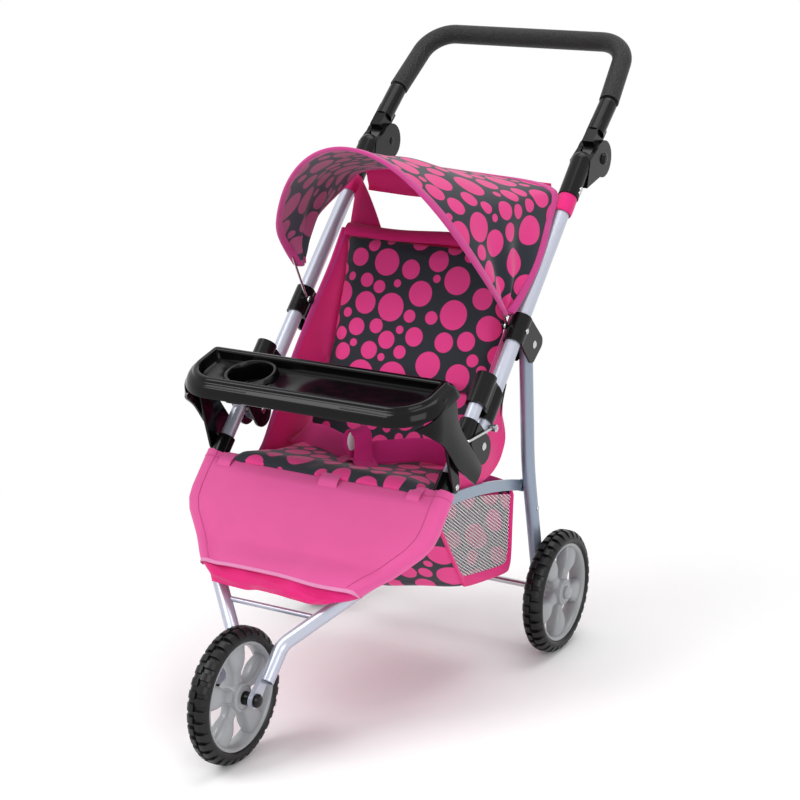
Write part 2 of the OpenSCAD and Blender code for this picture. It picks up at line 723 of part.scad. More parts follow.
// Round wire that carries the canopy's front hem
bow_inset = cloth_t + bow_d / 2 + 1.8;
module canopy_bow() color(bright) over_origin() {
    n = 28;
    k = 8;
    eye = frame_half - knob_in + 2.2;
    arch = [for (j = [0 : n]) inwards(bow_point(22 + (180 - 44) * j / n), bow_inset)];
    hub = [eye, canopy_pivot[1], canopy_pivot[2]];
    start = hub + 2.8 * unit(arch[0] - hub);
    path = concat([start], arch, [[-start[0], start[1], start[2]]]);
    rings = [for (i = [0 : len(path) - 1]) ring(path, i, bow_d / 2, k)];
    points = [for (r = rings) each r];
    last = len(path) - 1;
    polyhedron(points, concat(
        [[for (j = [0 : k - 1]) j]],
        [for (i = [0 : last - 1]) for (j = [0 : k - 1]) let (a = i * k + j, b = i * k + (j + 1) % k)
            each [[a, b + k, b], [a, a + k, b + k]]],
        [[for (j = [0 : k - 1]) last * k + k - 1 - j]]
    ));
    for (side = [-1, 1]) translate([side * eye, canopy_pivot[1], canopy_pivot[2]]) difference() {
        bar_x(knob_pin_d + 2 * run_gap + 3, -bow_d * 0.4, bow_d * 0.4);
        bar_x(knob_pin_d + 2 * run_gap, -bow_d, bow_d);
    }
}
// One ring of points round a path's point i
function ring(p, i, r, k) = let (
        d = unit(p[min(i + 1, len(p) - 1)] - p[max(i - 1, 0)]),
        u = unit(cross(d, [0, 0.8, 0.6])),
        v = cross(d, u)
    )
    [for (j = [0 : k - 1]) p[i] + r * (cos(360 * j / k) * u + sin(360 * j / k) * v)];

// ---- handle ----

module handle_hub(side) color(black) on_side(side) difference() {
    union() {
        translate([frame_half, handle_pivot[1], handle_pivot[2]])
            bar_x(2 * disc_r - 2, -barrel_w / 2, barrel_w / 2);
        at_handle(hub_low) cylinder(d = hub_d_out, h = hub_high - hub_low);
        // Neck from the barrel to the bar's socket
        at_handle() translate([-barrel_w / 2, -hub_d_out / 2 + 2, 0])
            cube([barrel_w, bar_offset, hub_low + 14]);
    }
    at_handle(bar_low) cylinder(d = upper_d + 2 * run_gap, h = hub_high);
    translate([frame_half, handle_pivot[1], handle_pivot[2]])
        bar_x(pin_d + 2 * run_gap, -barrel_w, barrel_w);
}

function bar_path(low) = [
    handle_at(low, frame_half), handle_at(hub_high + 2, frame_half), handle_at(handle_reach, grip_half),
    handle_at(handle_reach, -grip_half), handle_at(hub_high + 2, -frame_half),
    handle_at(low, -frame_half)
];
bar_radii = [0, 40, grip_bend, grip_bend, 40, 0];
module handle_bar() color(black) over_origin()
    bent(bar_path(bar_low + 0.2), bar_radii, upper_d, tube_wall);

module foam_grip() color([0.12, 0.12, 0.13]) over_origin() {
    p = bar_path(bar_low);
    dir = unit(p[2] - p[1]);
    low = p[1] + dir * 3;
    mirrored = [-low[0], low[1], low[2]];
    bent([low, p[2], p[3], mirrored], [0, grip_bend, grip_bend, 0], grip_d,
        (grip_d - upper_d) / 2 - run_gap);
}

// ---- rear legs ----

module rear_leg(side) color(steel_blue) on_side(side) difference() {
    up = unit(leg_top - leg_bend);
    down = unit(leg_foot - leg_bend);
    bent([leg_top + leg_over * up, leg_bend, leg_foot + leg_over * down], [0, 400, 0], leg_d, tube_wall);
    translate(leg_top) bar_x(pin_d + 2 * run_gap, -leg_d, leg_d);
    translate(leg_foot) bar_x(axle_d + 2 * run_gap, -leg_d, leg_d);
}

module rear_axle() color(bright) translate([0, rear_y - mid_y, axle_z]) {
    reach = rear_wheel_x + hub_len / 2 + 3;
    bar_x(axle_d, -reach, reach);
}
module rear_washers() color(black) both_sides() translate([0, rear_y, axle_z]) difference() {
    inner = foot_half + leg_d / 2 + 0.2;
    bar_x(axle_d + 6, inner, max(inner + 0.8, rear_wheel_x - hub_len / 2 - seat_gap));
    bar_x(axle_d + 2 * run_gap, foot_half, rear_wheel_x);
}
module rear_hub_caps() color(black) both_sides() translate([0, rear_y, axle_z])
    cap_x(rear_wheel_x + hub_len / 2 + seat_gap, axle_d + 8, 5);

// ---- side links and basket ----

link_step = 0.2;     // the link's eyes stand proud of its arch by this much
module side_link(side) color(steel_blue) on_side(side) {
    a = yz(link_front);
    b = yz(link_rear);
    half = norm(b - a) / 2;
    radius = (half * half + link_arch * link_arch) / (2 * link_arch);
    spread = asin(half / radius);
    tilt = atan2(b[1] - a[1], b[0] - a[0]);
    centre = (a + b) / 2 + (radius - link_arch) * [sin(tilt), -cos(tilt)];
    translate([link_in + link_step, centre[0], centre[1]]) rotate([tilt - spread, 0, 0])
        rotate([0, 90, 0]) rotate([0, 0, 180]) rotate_extrude(angle = 2 * spread)
        translate([radius - link_h / 2, 0]) square([link_h, link_t - 2 * link_step]);
    for (p = [a, b]) translate([0, p[0], p[1]]) bar_x(link_h + 2, link_in, link_in + link_t);
}

// Spacers that carry the links' ends beside the lower tubes and the legs
module link_rivets() color(bright) both_sides() {
    translate([0, link_front[1], link_front[2]])
        bar_x(link_h - 3, link_in + link_t, frame_half - lower_d / 2 - seat_gap);
    translate([0, link_rear[1], link_rear[2]])
        bar_x(link_h - 3, link_in + link_t, leg_at_link[0] - leg_d / 2 - seat_gap);
}

basket_wall = 2;
basket_front = along(-link_along + 10, tube_gap - 17);
basket_rear = [leg_at_link[1] - 20, leg_at_link[2] - 7];
basket_outer = [
    yz(basket_front), [basket_front[1] + 74, basket_front[2] - basket_drop],
    [basket_rear[0] - 8, basket_front[2] - basket_drop - 18], basket_rear
];
basket_inner = [
    basket_outer[0] + [2 * basket_wall, 4], basket_outer[1] + [1.2, basket_wall * 1.1],
    basket_outer[2] + [-basket_wall, basket_wall * 1.1], basket_outer[3] + [-basket_wall, 4],
    basket_outer[3] + [-basket_wall, 60], basket_outer[0] + [2 * basket_wall, 60]
];
module basket() color(slate) over_origin() {
    difference() {
        plate_x(-basket_half, basket_half) polygon(basket_outer);
        plate_x(basket_wall - basket_half, basket_half - basket_wall) polygon(basket_inner);
    }
    for (side = [1, -1]) mirror([side < 0 ? 1 : 0, 0, 0]) for (k = hanger_places) basket_hanger(k);
}
// Fabric tabs from the basket's rims to the side links, at parts k of the links' length
hanger_places = [0.46, 0.88];
hanger_w = 12;
module basket_hanger(k) {
    p = mix(link_front, link_rear, k) + [0, 0, link_arch * (1 - pow(2 * k - 1, 2))];
    rim_k = (p[1] - basket_front[1]) / (basket_rear[0] - basket_front[1]);
    rim_z = mix(basket_front[2], basket_rear[1], rim_k);
    translate([basket_half - basket_wall, p[1] - hanger_w / 2, min(rim_z, p[2]) - 12])
        cube([basket_wall, hanger_w, abs(p[2] - rim_z) + 12]);
}

// ---- fold lock ----

module lock_sleeve(side) color(black) on_side(side) difference() {
    union() {
        at_tube(sleeve_low, tube_gap) cylinder(d = lobe_d, h = lobe_len);
        at_tube(rear_lobe_low) cylinder(d = lobe_d - 1, h = sleeve_high - rear_lobe_low);
        at_tube(sleeve_low) translate([-7, -tube_gap, 0]) cube([14, tube_gap, lobe_len]);
    }
    at_tube(rear_lobe_low - 1) cylinder(d = upper_d + 2 * run_gap, h = sleeve_high);
    at_tube(sleeve_high) translate([-30, -upper_d / 2, 0]) rotate([-sleeve_slant, 0, 0]) cube([60, 80, 40]);
}

module latch_wire(side) color(bright) on_side(side) at_tube(bolt_along) {
    hook = [-hook_t, hook_s - bolt_along];
    eye = bolt_d + 2 * run_gap + 3;
    start = 0.05 * hook;
    difference() {
        union() {
            bent(
                [[wire_x, start[0], start[1]], [wire_x, hook[0], hook[1]],
                    [-wire_x, hook[0], hook[1]], [-wire_x, start[0], start[1]]],
                [0, 4, 4, 0], wire_d
            );
            for (x = [-wire_x, wire_x]) bar_x(eye, x - wire_d * 0.37, x + wire_d * 0.37);
        }
        bar_x(bolt_d + 2 * run_gap, -30, 30);
    }
}

// ---- wheels ----

module at_wheel(x, y) translate([x, y - mid_y, axle_z]) children();
module tyre() color(black) rotate([0, 90, 0]) rotate_extrude($fn = 96) {
    inner = rim_r + run_gap;
    half = tyre_w / 2;
    polygon([
        [inner, -half + 3], [inner + 3, -half + 1], [wheel_r - 6, -half], [wheel_r - 2.5, -half + 2],
        [wheel_r, -half + 7], [wheel_r, half - 7], [wheel_r - 2.5, half - 2], [wheel_r - 6, half],
        [inner + 3, half - 1], [inner, half - 3]
    ]);
}
module rim(turned = 0) color(rim_grey) rotate([turned, 0, 0]) difference() {
    union() {
        rotate([0, 90, 0]) rotate_extrude($fn = 96) translate([rim_r - rim_ring, -rim_w / 2])
            square([rim_ring, rim_w]);
        bar_x(hub_d, -hub_len / 2, hub_len / 2);
        for (i = [0 : spoke_count - 1]) rotate([360 / spoke_count * i, 0, 0])
            translate([-rim_w * 0.35, -spoke_w / 2, 0]) cube([rim_w * 0.7, spoke_w, rim_r - rim_ring / 2]);
    }
    bar_x(axle_d + 2 * run_gap, -hub_len, hub_len);
}

// ---- the stroller ----

lower_tube(1);  // lower_tube_left
lower_tube(-1);  // lower_tube_right
fork_brace();
front_axle();
front_spacers();
front_axle_caps();
fold_bracket(1);  // fold_bracket_left
fold_bracket(-1);  // fold_bracket_right
fold_pivot_pins();
tray_bracket(1);  // tray_bracket_left
tray_bracket(-1);  // tray_bracket_right
tray_rivets();
tray();
seat_base();
harness();
leg_panel();
upper_tube(1);  // upper_tube_left
upper_tube(-1);  // upper_tube_right
leg_clamp(1);  // leg_clamp_left
leg_clamp(-1);  // leg_clamp_right
clamp_rivets();
leg_pivot_rivets();
canopy_knobs();
latch_bolts();
handle_socket(1);  // handle_socket_left
handle_socket(-1);  // handle_socket_right
handle_pivot_pins();
seat_back();
seat_straps();
seat_crease();
seat_side(1);  // seat_side_left
seat_side(-1);  // seat_side_right
canopy_cover();
canopy_bow();
handle_hub(1);  // handle_hub_left
handle_hub(-1);  // handle_hub_right
handle_bar();
foam_grip();
rear_leg(1);  // rear_leg_left
rear_leg(-1);  // rear_leg_right
rear_axle();
rear_washers();
rear_hub_caps();
side_link(1);  // side_link_left
side_link(-1);  // side_link_right
link_rivets();
basket();
lock_sleeve(1);  // lock_sleeve_left
lock_sleeve(-1);  // lock_sleeve_right
latch_wire(1);  // latch_wire_left
latch_wire(-1);  // latch_wire_right
at_wheel(0, front_y) tyre();  // front_tyre
at_wheel(0, front_y) rim();  // front_rim
at_wheel(rear_wheel_x, rear_y) tyre();  // rear_tyre_left
at_wheel(rear_wheel_x, rear_y) rim(180 / spoke_count);  // rear_rim_left
at_wheel(-rear_wheel_x, rear_y) tyre();  // rear_tyre_right
at_wheel(-rear_wheel_x, rear_y) rim(180 / spoke_count);  // rear_rim_right
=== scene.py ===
"""Looks of a folding three-wheel doll stroller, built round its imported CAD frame."""
import logging
import math
from dataclasses import dataclass, field
from enum import Enum
from typing import Sequence

import bmesh
import bpy
import numpy as np
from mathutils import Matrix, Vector


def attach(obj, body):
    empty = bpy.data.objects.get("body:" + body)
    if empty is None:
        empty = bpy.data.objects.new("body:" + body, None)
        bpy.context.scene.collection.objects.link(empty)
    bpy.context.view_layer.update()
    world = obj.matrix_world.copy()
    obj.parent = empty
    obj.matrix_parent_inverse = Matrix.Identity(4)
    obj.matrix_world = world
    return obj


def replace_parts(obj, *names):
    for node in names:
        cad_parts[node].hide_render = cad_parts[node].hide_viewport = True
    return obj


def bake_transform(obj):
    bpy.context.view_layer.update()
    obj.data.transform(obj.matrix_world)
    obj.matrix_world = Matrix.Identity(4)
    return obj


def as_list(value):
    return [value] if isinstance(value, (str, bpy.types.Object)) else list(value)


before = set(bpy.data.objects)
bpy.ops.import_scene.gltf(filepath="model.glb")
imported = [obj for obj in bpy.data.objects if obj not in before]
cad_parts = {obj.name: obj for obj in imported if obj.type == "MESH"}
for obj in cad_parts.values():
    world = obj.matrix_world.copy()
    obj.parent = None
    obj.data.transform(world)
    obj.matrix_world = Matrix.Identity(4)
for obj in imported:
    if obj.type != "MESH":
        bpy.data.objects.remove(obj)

logging.basicConfig(level=logging.INFO, format="%(levelname)s %(message)s")
LOG = logging.getLogger("stroller")

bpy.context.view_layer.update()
MID_Y = 83.6  # mm from the middle of the wheelbase back to the row frame's origin
RAKE = math.radians(46.6)  # the upper tubes' angle above the floor
FOLD = np.array((0, 41.0, 305.0))  # the fold pivot, in mm from the wheelbase's middle and the floor
TUBE_X = 146.0  # mm from the middle plane to the tubes
WHEEL_R = 75.0  # mm
AXLE_Y = 222.5  # mm from the wheelbase's middle to either axle
HALF_TRACK = 165.0  # mm from the middle plane to a rear wheel
CLOTH_THICK = 0.9  # mm
Array = np.ndarray
Socket = bpy.types.NodeSocket


class Side(Enum):
    """Sides of the stroller, by the sign of x."""

    LEFT = 1
    RIGHT = -1


# ---------------------------------------------------------------- points and curves


def mm(points: Sequence) -> Array:
    """Turns points in mm, with y from the middle of the wheelbase, into metres in the row frame."""
    return (np.asarray(points, float) - (0, MID_Y, 0)) / 1000


def along(s: float, t: float, x: float = 0.0) -> Array:
    """Gives the point s up the tubes from the fold pivot, t in front of them and x to the side, in mm."""
    c, k = math.cos(RAKE), math.sin(RAKE)
    return np.array([x, FOLD[1] + s * c - t * k, FOLD[2] + s * k + t * c])


def unit(v: Array) -> Array:
    """Scales vectors to length 1."""
    return v / np.maximum(np.linalg.norm(v, axis=-1, keepdims=True), 1e-12)


def lengths(path: Array) -> Array:
    """Measures how far along a path each of its points lies, from 0."""
    return np.concatenate([[0], np.cumsum(np.linalg.norm(np.diff(path, axis=0), axis=1))])


def span(path: Array, x: Array) -> Array:
    """Draws an outline out across the stroller: its y and z at each place x, in mm."""
    across = [np.tile(path[:, k : k + 1], (1, len(x))) for k in (1, 2)]
    return np.stack([np.tile(x, (len(path), 1)), *across], -1)


def between(first: Array, last: Array, n: int) -> Array:
    """Fills a grid of n rows with straight lines from one edge to another."""
    share = np.linspace(0, 1, n)[:, None, None]
    return first[None] * (1 - share) + last[None] * share


def smooth_path(points: Sequence, n: int) -> Array:
    """Runs a Catmull-Rom curve through points, spaced evenly by length.

    Args:
        points: The points to pass through.
        n: Number of points to give back.

    Returns:
        An array of n points.
    """
    p = np.asarray(points, float)
    q = np.concatenate([2 * p[:1] - p[1:2], p, 2 * p[-1:] - p[-2:-1]])
    t = np.linspace(0, 1, 24, endpoint=False)[:, None]
    runs = []
    for i in range(1, len(q) - 2):
        a, b, c, d = q[i - 1 : i + 3]
        runs.append(
            0.5 * (2 * b + (c - a) * t + (2 * a - 5 * b + 4 * c - d) * t**2 + (3 * b - a - 3 * c + d) * t**3)
        )
    runs.append(q[-2:-1])
    return spaced(np.concatenate(runs), n)


def side_path(points: Sequence, n: int) -> Array:
    """Runs a smooth curve of n points through places (y, z) in the middle plane, in mm."""
    return smooth_path([(0, y, z) for y, z in points], n)


def spaced(path: Array, n: int, closed: bool = False) -> Array:
    """Spaces a path's points evenly by length.

    Args:
        path: Points of the path.
        n: Number of points to give back.
        closed: True leaves out the last point, which repeats the first.

    Returns:
        An array of n points.
    """
    s = lengths(path)
    want = np.linspace(0, s[-1], n, endpoint=not closed)
    return np.stack([np.interp(want, s, path[:, k]) for k in range(path.shape[1])], axis=1)


def ramp(x: Array, low: float, high: float) -> Array:
    """Rises smoothly from 0 at low to 1 at high."""
    t = np.clip((np.asarray(x, float) - low) / (high - low), 0, 1)
    return t * t * (3 - 2 * t)


def ripple(u: Array, v: Array, seed: int, waves: int = 5, low: float = 0.5, high: float = 3.0) -> Array:
    """Adds a few seeded sine waves into a smooth uneven field from about -1 to 1.

    Args:
        u: First coordinate, usually 0 to 1.
        v: Second coordinate.
        seed: Seed of the waves.
        waves: Number of waves.
        low: Fewest cycles over one unit.
        high: Most cycles over one unit.

    Returns:
        The field at each (u, v).
    """
    rng = np.random.default_rng(seed)
    out = np.zeros(np.broadcast(u, v).shape)
    for _ in range(waves):
        turn, cycles, phase = rng.uniform(0, 2 * np.pi), rng.uniform(low, high), rng.uniform(0, 2 * np.pi)
        out = out + np.sin(2 * np.pi * cycles * (u * np.cos(turn) + v * np.sin(turn)) + phase)
    return out / math.sqrt(waves)


# ---------------------------------------------------------------- printed dots


DOT_SIZES = (  # least and greatest radius in mm, and the tries for each mm2 of cloth
    (15, 18.5, 1 / 1100),
    (10.5, 14, 1 / 55),
    (7.5, 9.5, 1 / 40),
    (4.8, 6.4, 1 / 70),
)


@dataclass
class DotPrint:
    """A seeded layout of round dots of mixed sizes that fills a rectangle of cloth.

    Attributes:
        width: Width of the printed rectangle, in mm.
        height: Height of the printed rectangle, in mm.
        seed: Seed of the layout.
        gap: Least gap between two dots, in mm.
    """

    width: float
    height: float
    seed: int
    gap: float = 2.5
    centres: Array = field(init=False)
    radii: Array = field(init=False)

    def __post_init__(self) -> None:
        """Packs the dots, from the largest size to the smallest."""
        rng = np.random.default_rng(self.seed)
        centres, radii = np.zeros((0, 2)), np.zeros(0)
        area = self.width * self.height
        for r_low, r_high, share in DOT_SIZES:
            for _ in range(int(area * share)):
                r = rng.uniform(r_low, r_high)
                c = rng.uniform((-10, -10), (self.width + 10, self.height + 10))
                if np.all(np.hypot(*(centres - c).T) > radii + r + self.gap):
                    centres, radii = np.vstack([centres, c]), np.append(radii, r)
        self.centres, self.radii = centres, radii
        LOG.info("dot print %d: %d dots on %.0f by %.0f mm", self.seed, len(radii), self.width, self.height)

    def edge(self, uv: Array) -> Array:
        """Measures the distance to the nearest dot's edge.

        Args:
            uv: Places on the cloth, in mm.

        Returns:
            The distances in mm, below zero inside a dot.
        """
        flat = uv.reshape(-1, 2)
        out = np.full(len(flat), 1e3)
        for c, r in zip(self.centres, self.radii):
            out = np.minimum(out, np.hypot(flat[:, 0] - c[0], flat[:, 1] - c[1]) - r)
        return out.reshape(uv.shape[:-1])


# ---------------------------------------------------------------- materials


def linear(hex_colour: str) -> tuple[float, float, float, float]:
    """Turns an sRGB hex colour into linear light.

    Args:
        hex_colour: Six hex digits, with or without a leading '#'.

    Returns:
        Linear red, green, blue and an alpha of 1.
    """
    h = hex_colour.lstrip("#")
    channels = [int(h[i : i + 2], 16) / 255 for i in (0, 2, 4)]
    return (*[c / 12.92 if c <= 0.04045 else ((c + 0.055) / 1.055) ** 2.4 for c in channels], 1.0)


class Nodes:
    """A material's node tree with one way to add nodes and links."""

    def __init__(self, name: str) -> None:
        """Makes an empty material.

        Args:
            name: Name of the material.
        """
        self.material = bpy.data.materials.new(name)
        self.material.use_nodes = True
        self.tree = self.material.node_tree
        self.tree.nodes.clear()

    def add(self, kind: str, inputs: dict | None = None, **settings) -> bpy.types.Node:
        """Adds a node.

        Args:
            kind: Blender's type name of the node.
            inputs: Values or sockets by input name or number.
            **settings: Properties of the node itself.

        Returns:
            The node.
        """
        node = self.tree.nodes.new(kind)
        for key, value in settings.items():
            setattr(node, key, value)
        for key, value in (inputs or {}).items():
            if isinstance(value, Socket):
                self.tree.links.new(value, node.inputs[key])
            else:
                node.inputs[key].default_value = value
        return node

    def principled(self, inputs: dict) -> Socket:
        """Adds a principled shader from values or sockets by input name."""
        return self.add("ShaderNodeBsdfPrincipled", inputs).outputs["BSDF"]

    def math(self, operation: str, *values) -> Socket:
        """Adds an arithmetic node over values or sockets and gives its result."""
        return self.add("ShaderNodeMath", dict(enumerate(values)), operation=operation).outputs["Value"]

    def relief(self, strength: float, depth: float, height: Socket) -> Socket:
        """Adds a bump of a depth in metres over a relief from 0 to 1, and gives its normal."""
        inputs = {"Strength": strength, "Distance": depth, "Height": height}
        return self.add("ShaderNodeBump", inputs).outputs["Normal"]

    def mix(self, share: float | Socket, *shaders: Socket) -> Socket:
        """Mixes two shaders by the share of the second one."""
        return self.add("ShaderNodeMixShader", {0: share, 1: shaders[0], 2: shaders[1]}).outputs["Shader"]

    def finish(self, shader: Socket) -> bpy.types.Material:
        """Joins a shader to the output."""
        self.add("ShaderNodeOutputMaterial", {"Surface": shader})
        return self.material


@dataclass(frozen=True)
class Finish:
    """Base of the finishes: each builds one node material.

    Attributes:
        name: Name of the material.
        colour: Main colour in sRGB hex.
    """

    name: str
    colour: str

    def build(self) -> bpy.types.Material:
        """Builds the material."""
        return bpy.data.materials.get(self.name) or self.make(Nodes(self.name))

    def make(self, n: Nodes) -> bpy.types.Material:
        """Makes the nodes in an empty tree."""
        raise NotImplementedError

    def bump(self, n: Nodes, scale: float, strength: float, depth: float, detail: float = 2.0) -> Socket:
        """Adds a fine uneven bump in Object coordinates.

        Args:
            n: The node tree.
            scale: Noise cycles over a metre.
            strength: Share of the bump that is used.
            depth: Height of the bump, in metres.
            detail: Octaves of noise.

        Returns:
            The normal.
        """
        place = n.add("ShaderNodeTexCoord").outputs["Object"]
        noise = n.add("ShaderNodeTexNoise", {"Vector": place, "Scale": scale, "Detail": detail})
        return n.relief(strength, depth, noise.outputs["Fac"])


@dataclass(frozen=True)
class PowderCoat(Finish):
    """Satin powder coat on steel tube: a soft metallic sheen with the least orange peel."""

    rough: float = 0.32
    metal: float = 0.55

    def make(self, n: Nodes) -> bpy.types.Material:
        """Makes the nodes.

        Args:
            n: The empty node tree.

        Returns:
            The finished material.
        """
        shader = n.principled(
            {
                "Base Color": linear(self.colour),
                "Metallic": self.metal,
                "Roughness": self.rough,
                "Coat Weight": 0.25,
                "Coat Roughness": 0.15,
                "Normal": self.bump(n, 900, 0.15, 0.0002),
            }
        )
        return n.finish(shader)


@dataclass(frozen=True)
class BrightSteel(Finish):
    """Zinc-plated steel of rivets and wires: a bright, hard glint."""

    rough: float = 0.22

    def make(self, n: Nodes) -> bpy.types.Material:
        """Makes the nodes.

        Args:
            n: The empty node tree.

        Returns:
            The finished material.
        """
        return n.finish(
            n.principled({"Base Color": linear(self.colour), "Metallic": 1.0, "Roughness": self.rough})
        )


@dataclass(frozen=True)
class MouldedPlastic(Finish):
    """Injection-moulded plastic: one even colour with a clear highlight and a faint grain."""

    rough: float = 0.25
    grain: float = 0.08
    shine: float = 0.5

    def make(self, n: Nodes) -> bpy.types.Material:
        """Makes the nodes.

        Args:
            n: The empty node tree.

        Returns:
            The finished material.
        """
        shader = n.principled(
            {
                "Base Color": linear(self.colour),
                "Roughness": self.rough,
                "Specular IOR Level": self.shine,
                "Normal": self.bump(n, 1400, self.grain, 0.0002),
            }
        )
        return n.finish(shader)


@dataclass(frozen=True)
class GripFoam(Finish):
    """Closed-cell foam of the grip: dark and dull with a pebbled skin."""

    def make(self, n: Nodes) -> bpy.types.Material:
        """Makes the nodes.

        Args:
            n: The empty node tree.

        Returns:
            The finished material.
        """
        place = n.add("ShaderNodeTexCoord").outputs["Object"]
        cells = n.add("ShaderNodeTexVoronoi", {"Vector": place, "Scale": 620.0})
        shader = n.principled(
            {
                "Base Color": linear(self.colour),
                "Roughness": 0.42,
                "Specular IOR Level": 0.32,
                "Normal": n.relief(0.9, 0.001, cells.outputs["Distance"]),
            }
        )
        return n.finish(shader)


@dataclass(frozen=True)
class TyreRubber(Finish):
    """Moulded tyre: near black, with a low broad sheen."""

    def make(self, n: Nodes) -> bpy.types.Material:
        """Makes the nodes.

        Args:
            n: The empty node tree.

        Returns:
            The finished material.
        """
        shader = n.principled(
            {
                "Base Color": linear(self.colour),
                "Roughness": 0.36,
                "Specular IOR Level": 0.3,
                "Normal": self.bump(n, 500, 0.2, 0.0003),
            }
        )
        return n.finish(shader)


@dataclass(frozen=True)
class Cloth(Finish):
    """Woven polyester: a fine weave, a soft sheen at grazing angles and some light let through.

    Attributes:
        rough: Roughness of the threads.
        through: Share of the light that passes through.
        weave: Strength of the weave's bump.
    """

    rough: float = 0.7
    through: float = 0.12
    weave: float = 0.25

    def colour_socket(self, n: Nodes) -> Socket:
        """Gives the cloth's colour, a little uneven.

        Args:
            n: The node tree.

        Returns:
            The colour.
        """
        place = n.add("ShaderNodeTexCoord").outputs["Object"]
        noise = n.add("ShaderNodeTexNoise", {"Vector": place, "Scale": 22.0, "Detail": 3.0})
        shift = n.add("ShaderNodeMapRange", {"Value": noise.outputs["Fac"], 3: 0.93, 4: 1.07})
        tint = n.add(
            "ShaderNodeHueSaturation", {"Color": linear(self.colour), "Value": shift.outputs["Result"]}
        )
        return tint.outputs["Color"]

    def make(self, n: Nodes) -> bpy.types.Material:
        """Makes the nodes.

        Args:
            n: The empty node tree.

        Returns:
            The finished material.
        """
        colour = self.colour_socket(n)
        uv = n.add("ShaderNodeUVMap", uv_map="cloth").outputs["UV"]
        warp = n.add("ShaderNodeTexWave", {"Vector": uv, "Scale": 260.0}, bands_direction="X")
        weft = n.add("ShaderNodeTexWave", {"Vector": uv, "Scale": 260.0}, bands_direction="Y")
        threads = n.math("MAXIMUM", warp.outputs["Fac"], weft.outputs["Fac"])
        cloth = n.principled(
            {
                "Base Color": colour,
                "Roughness": self.rough,
                "Sheen Weight": 0.25,
                "Sheen Roughness": 0.5,
                "Specular IOR Level": 0.3,
                "Normal": n.relief(self.weave, 0.0002, threads),
            }
        )
        back = n.add("ShaderNodeBsdfTranslucent", {"Color": colour})
        return n.finish(n.mix(self.through, cloth, back.outputs["BSDF"]))


@dataclass(frozen=True)
class DottedCloth(Cloth):
    """Woven polyester printed with pink dots of mixed sizes on dark slate.

    Attributes:
        dot: Colour of the dots in sRGB hex.
    """

    dot: str = "#E8489A"

    def colour_socket(self, n: Nodes) -> Socket:
        """Gives the print's colour from the distance to a dot's edge.

        Args:
            n: The node tree.

        Returns:
            The colour.
        """
        edge = n.add("ShaderNodeAttribute", attribute_name="dot_edge").outputs["Fac"]
        inside = n.add(
            "ShaderNodeMapRange", {"Value": edge, 1: 0.35, 2: -0.35}, interpolation_type="SMOOTHSTEP"
        )
        mix = n.add(
            "ShaderNodeMix",
            {"Factor": inside.outputs["Result"], 6: linear(self.colour), 7: linear(self.dot)},
            data_type="RGBA",
        )
        return mix.outputs[2]


@dataclass(frozen=True)
class NetCloth(Finish):
    """Open white net: two sets of slanting threads with holes that show what lies behind.

    Attributes:
        pitch: Distance between threads, in mm.
        thread: Share of the pitch that is thread.
    """

    pitch: float = 3.4
    thread: float = 0.17

    def make(self, n: Nodes) -> bpy.types.Material:
        """Makes the nodes.

        Args:
            n: The empty node tree.

        Returns:
            The finished material.
        """
        uv = n.add("ShaderNodeUVMap", uv_map="cloth").outputs["UV"]
        holes = None
        for turn in (0.72, -0.98):
            spun = n.add("ShaderNodeVectorRotate", {"Vector": uv, "Angle": turn}, rotation_type="Z_AXIS")
            split = n.add("ShaderNodeSeparateXYZ", {0: spun.outputs["Vector"]})
            part = n.math("FRACT", n.math("MULTIPLY", split.outputs["X"], 1000 / self.pitch))
            gap = n.math("GREATER_THAN", part, self.thread)
            holes = gap if holes is None else n.math("MULTIPLY", holes, gap)
        thread = n.principled({"Base Color": linear(self.colour), "Roughness": 0.6})
        clear = n.add("ShaderNodeBsdfTransparent")
        return n.finish(n.mix(holes, thread, clear.outputs["BSDF"]))


@dataclass(frozen=True)
class StudioPaper(Finish):
    """White studio paper: it takes soft shadows and is plain white to the camera elsewhere."""

    def make(self, n: Nodes) -> bpy.types.Material:
        """Makes the nodes.

        Args:
            n: The empty node tree.

        Returns:
            The finished material.
        """
        paper = n.add("ShaderNodeBsdfDiffuse", {"Color": linear(self.colour)})
        white = n.add("ShaderNodeEmission", {"Strength": 1.0})
        place = n.add("ShaderNodeTexCoord").outputs["Object"]
        far = n.add("ShaderNodeVectorMath", {0: place}, operation="LENGTH").outputs["Value"]
        fade = n.add("ShaderNodeMapRange", {"Value": far, 1: 0.3, 2: 0.85}, interpolation_type="SMOOTHSTEP")
        rays = n.add("ShaderNodeLightPath").outputs
        seen = n.math("MAXIMUM", rays["Is Camera Ray"], rays["Is Glossy Ray"])
        share = n.math("MULTIPLY", fade.outputs["Result"], seen)
        return n.finish(n.mix(share, paper.outputs["BSDF"], white.outputs["Emission"]))


SILVER_COAT = PowderCoat("silver powder coat", "#B9BDCB")
# Painted shade: the silver coat darkened to blue grey for the rear legs and side links, which stand in shade.
PAINTED_SHADE_COAT = PowderCoat("blue-grey powder coat", "#8D9AAB")
BLACK_COAT = PowderCoat("black powder coat", "#0C0C0D", metal=0.0)
ZINC = BrightSteel("zinc-plated steel", "#C9CACB")
BLACK_PLASTIC = MouldedPlastic("black moulded plastic", "#0A0A0B", rough=0.2, shine=0.22)
TRAY_PLASTIC = MouldedPlastic("gloss black tray plastic", "#060607", rough=0.12, grain=0.02, shine=0.2)
RIM_PLASTIC = MouldedPlastic("grey rim plastic", "#96989B", rough=0.26, grain=0.06)
FOAM = GripFoam("black grip foam", "#0E0E0F")
RUBBER = TyreRubber("tyre rubber", "#0E0E10")
DOTS = DottedCloth("dotted cloth", "#1B222C", dot="#E83A8C", through=0.04)
CANOPY_DOTS = DottedCloth("dotted canopy cloth", "#1D242F", dot="#E83A8C", through=0.22)
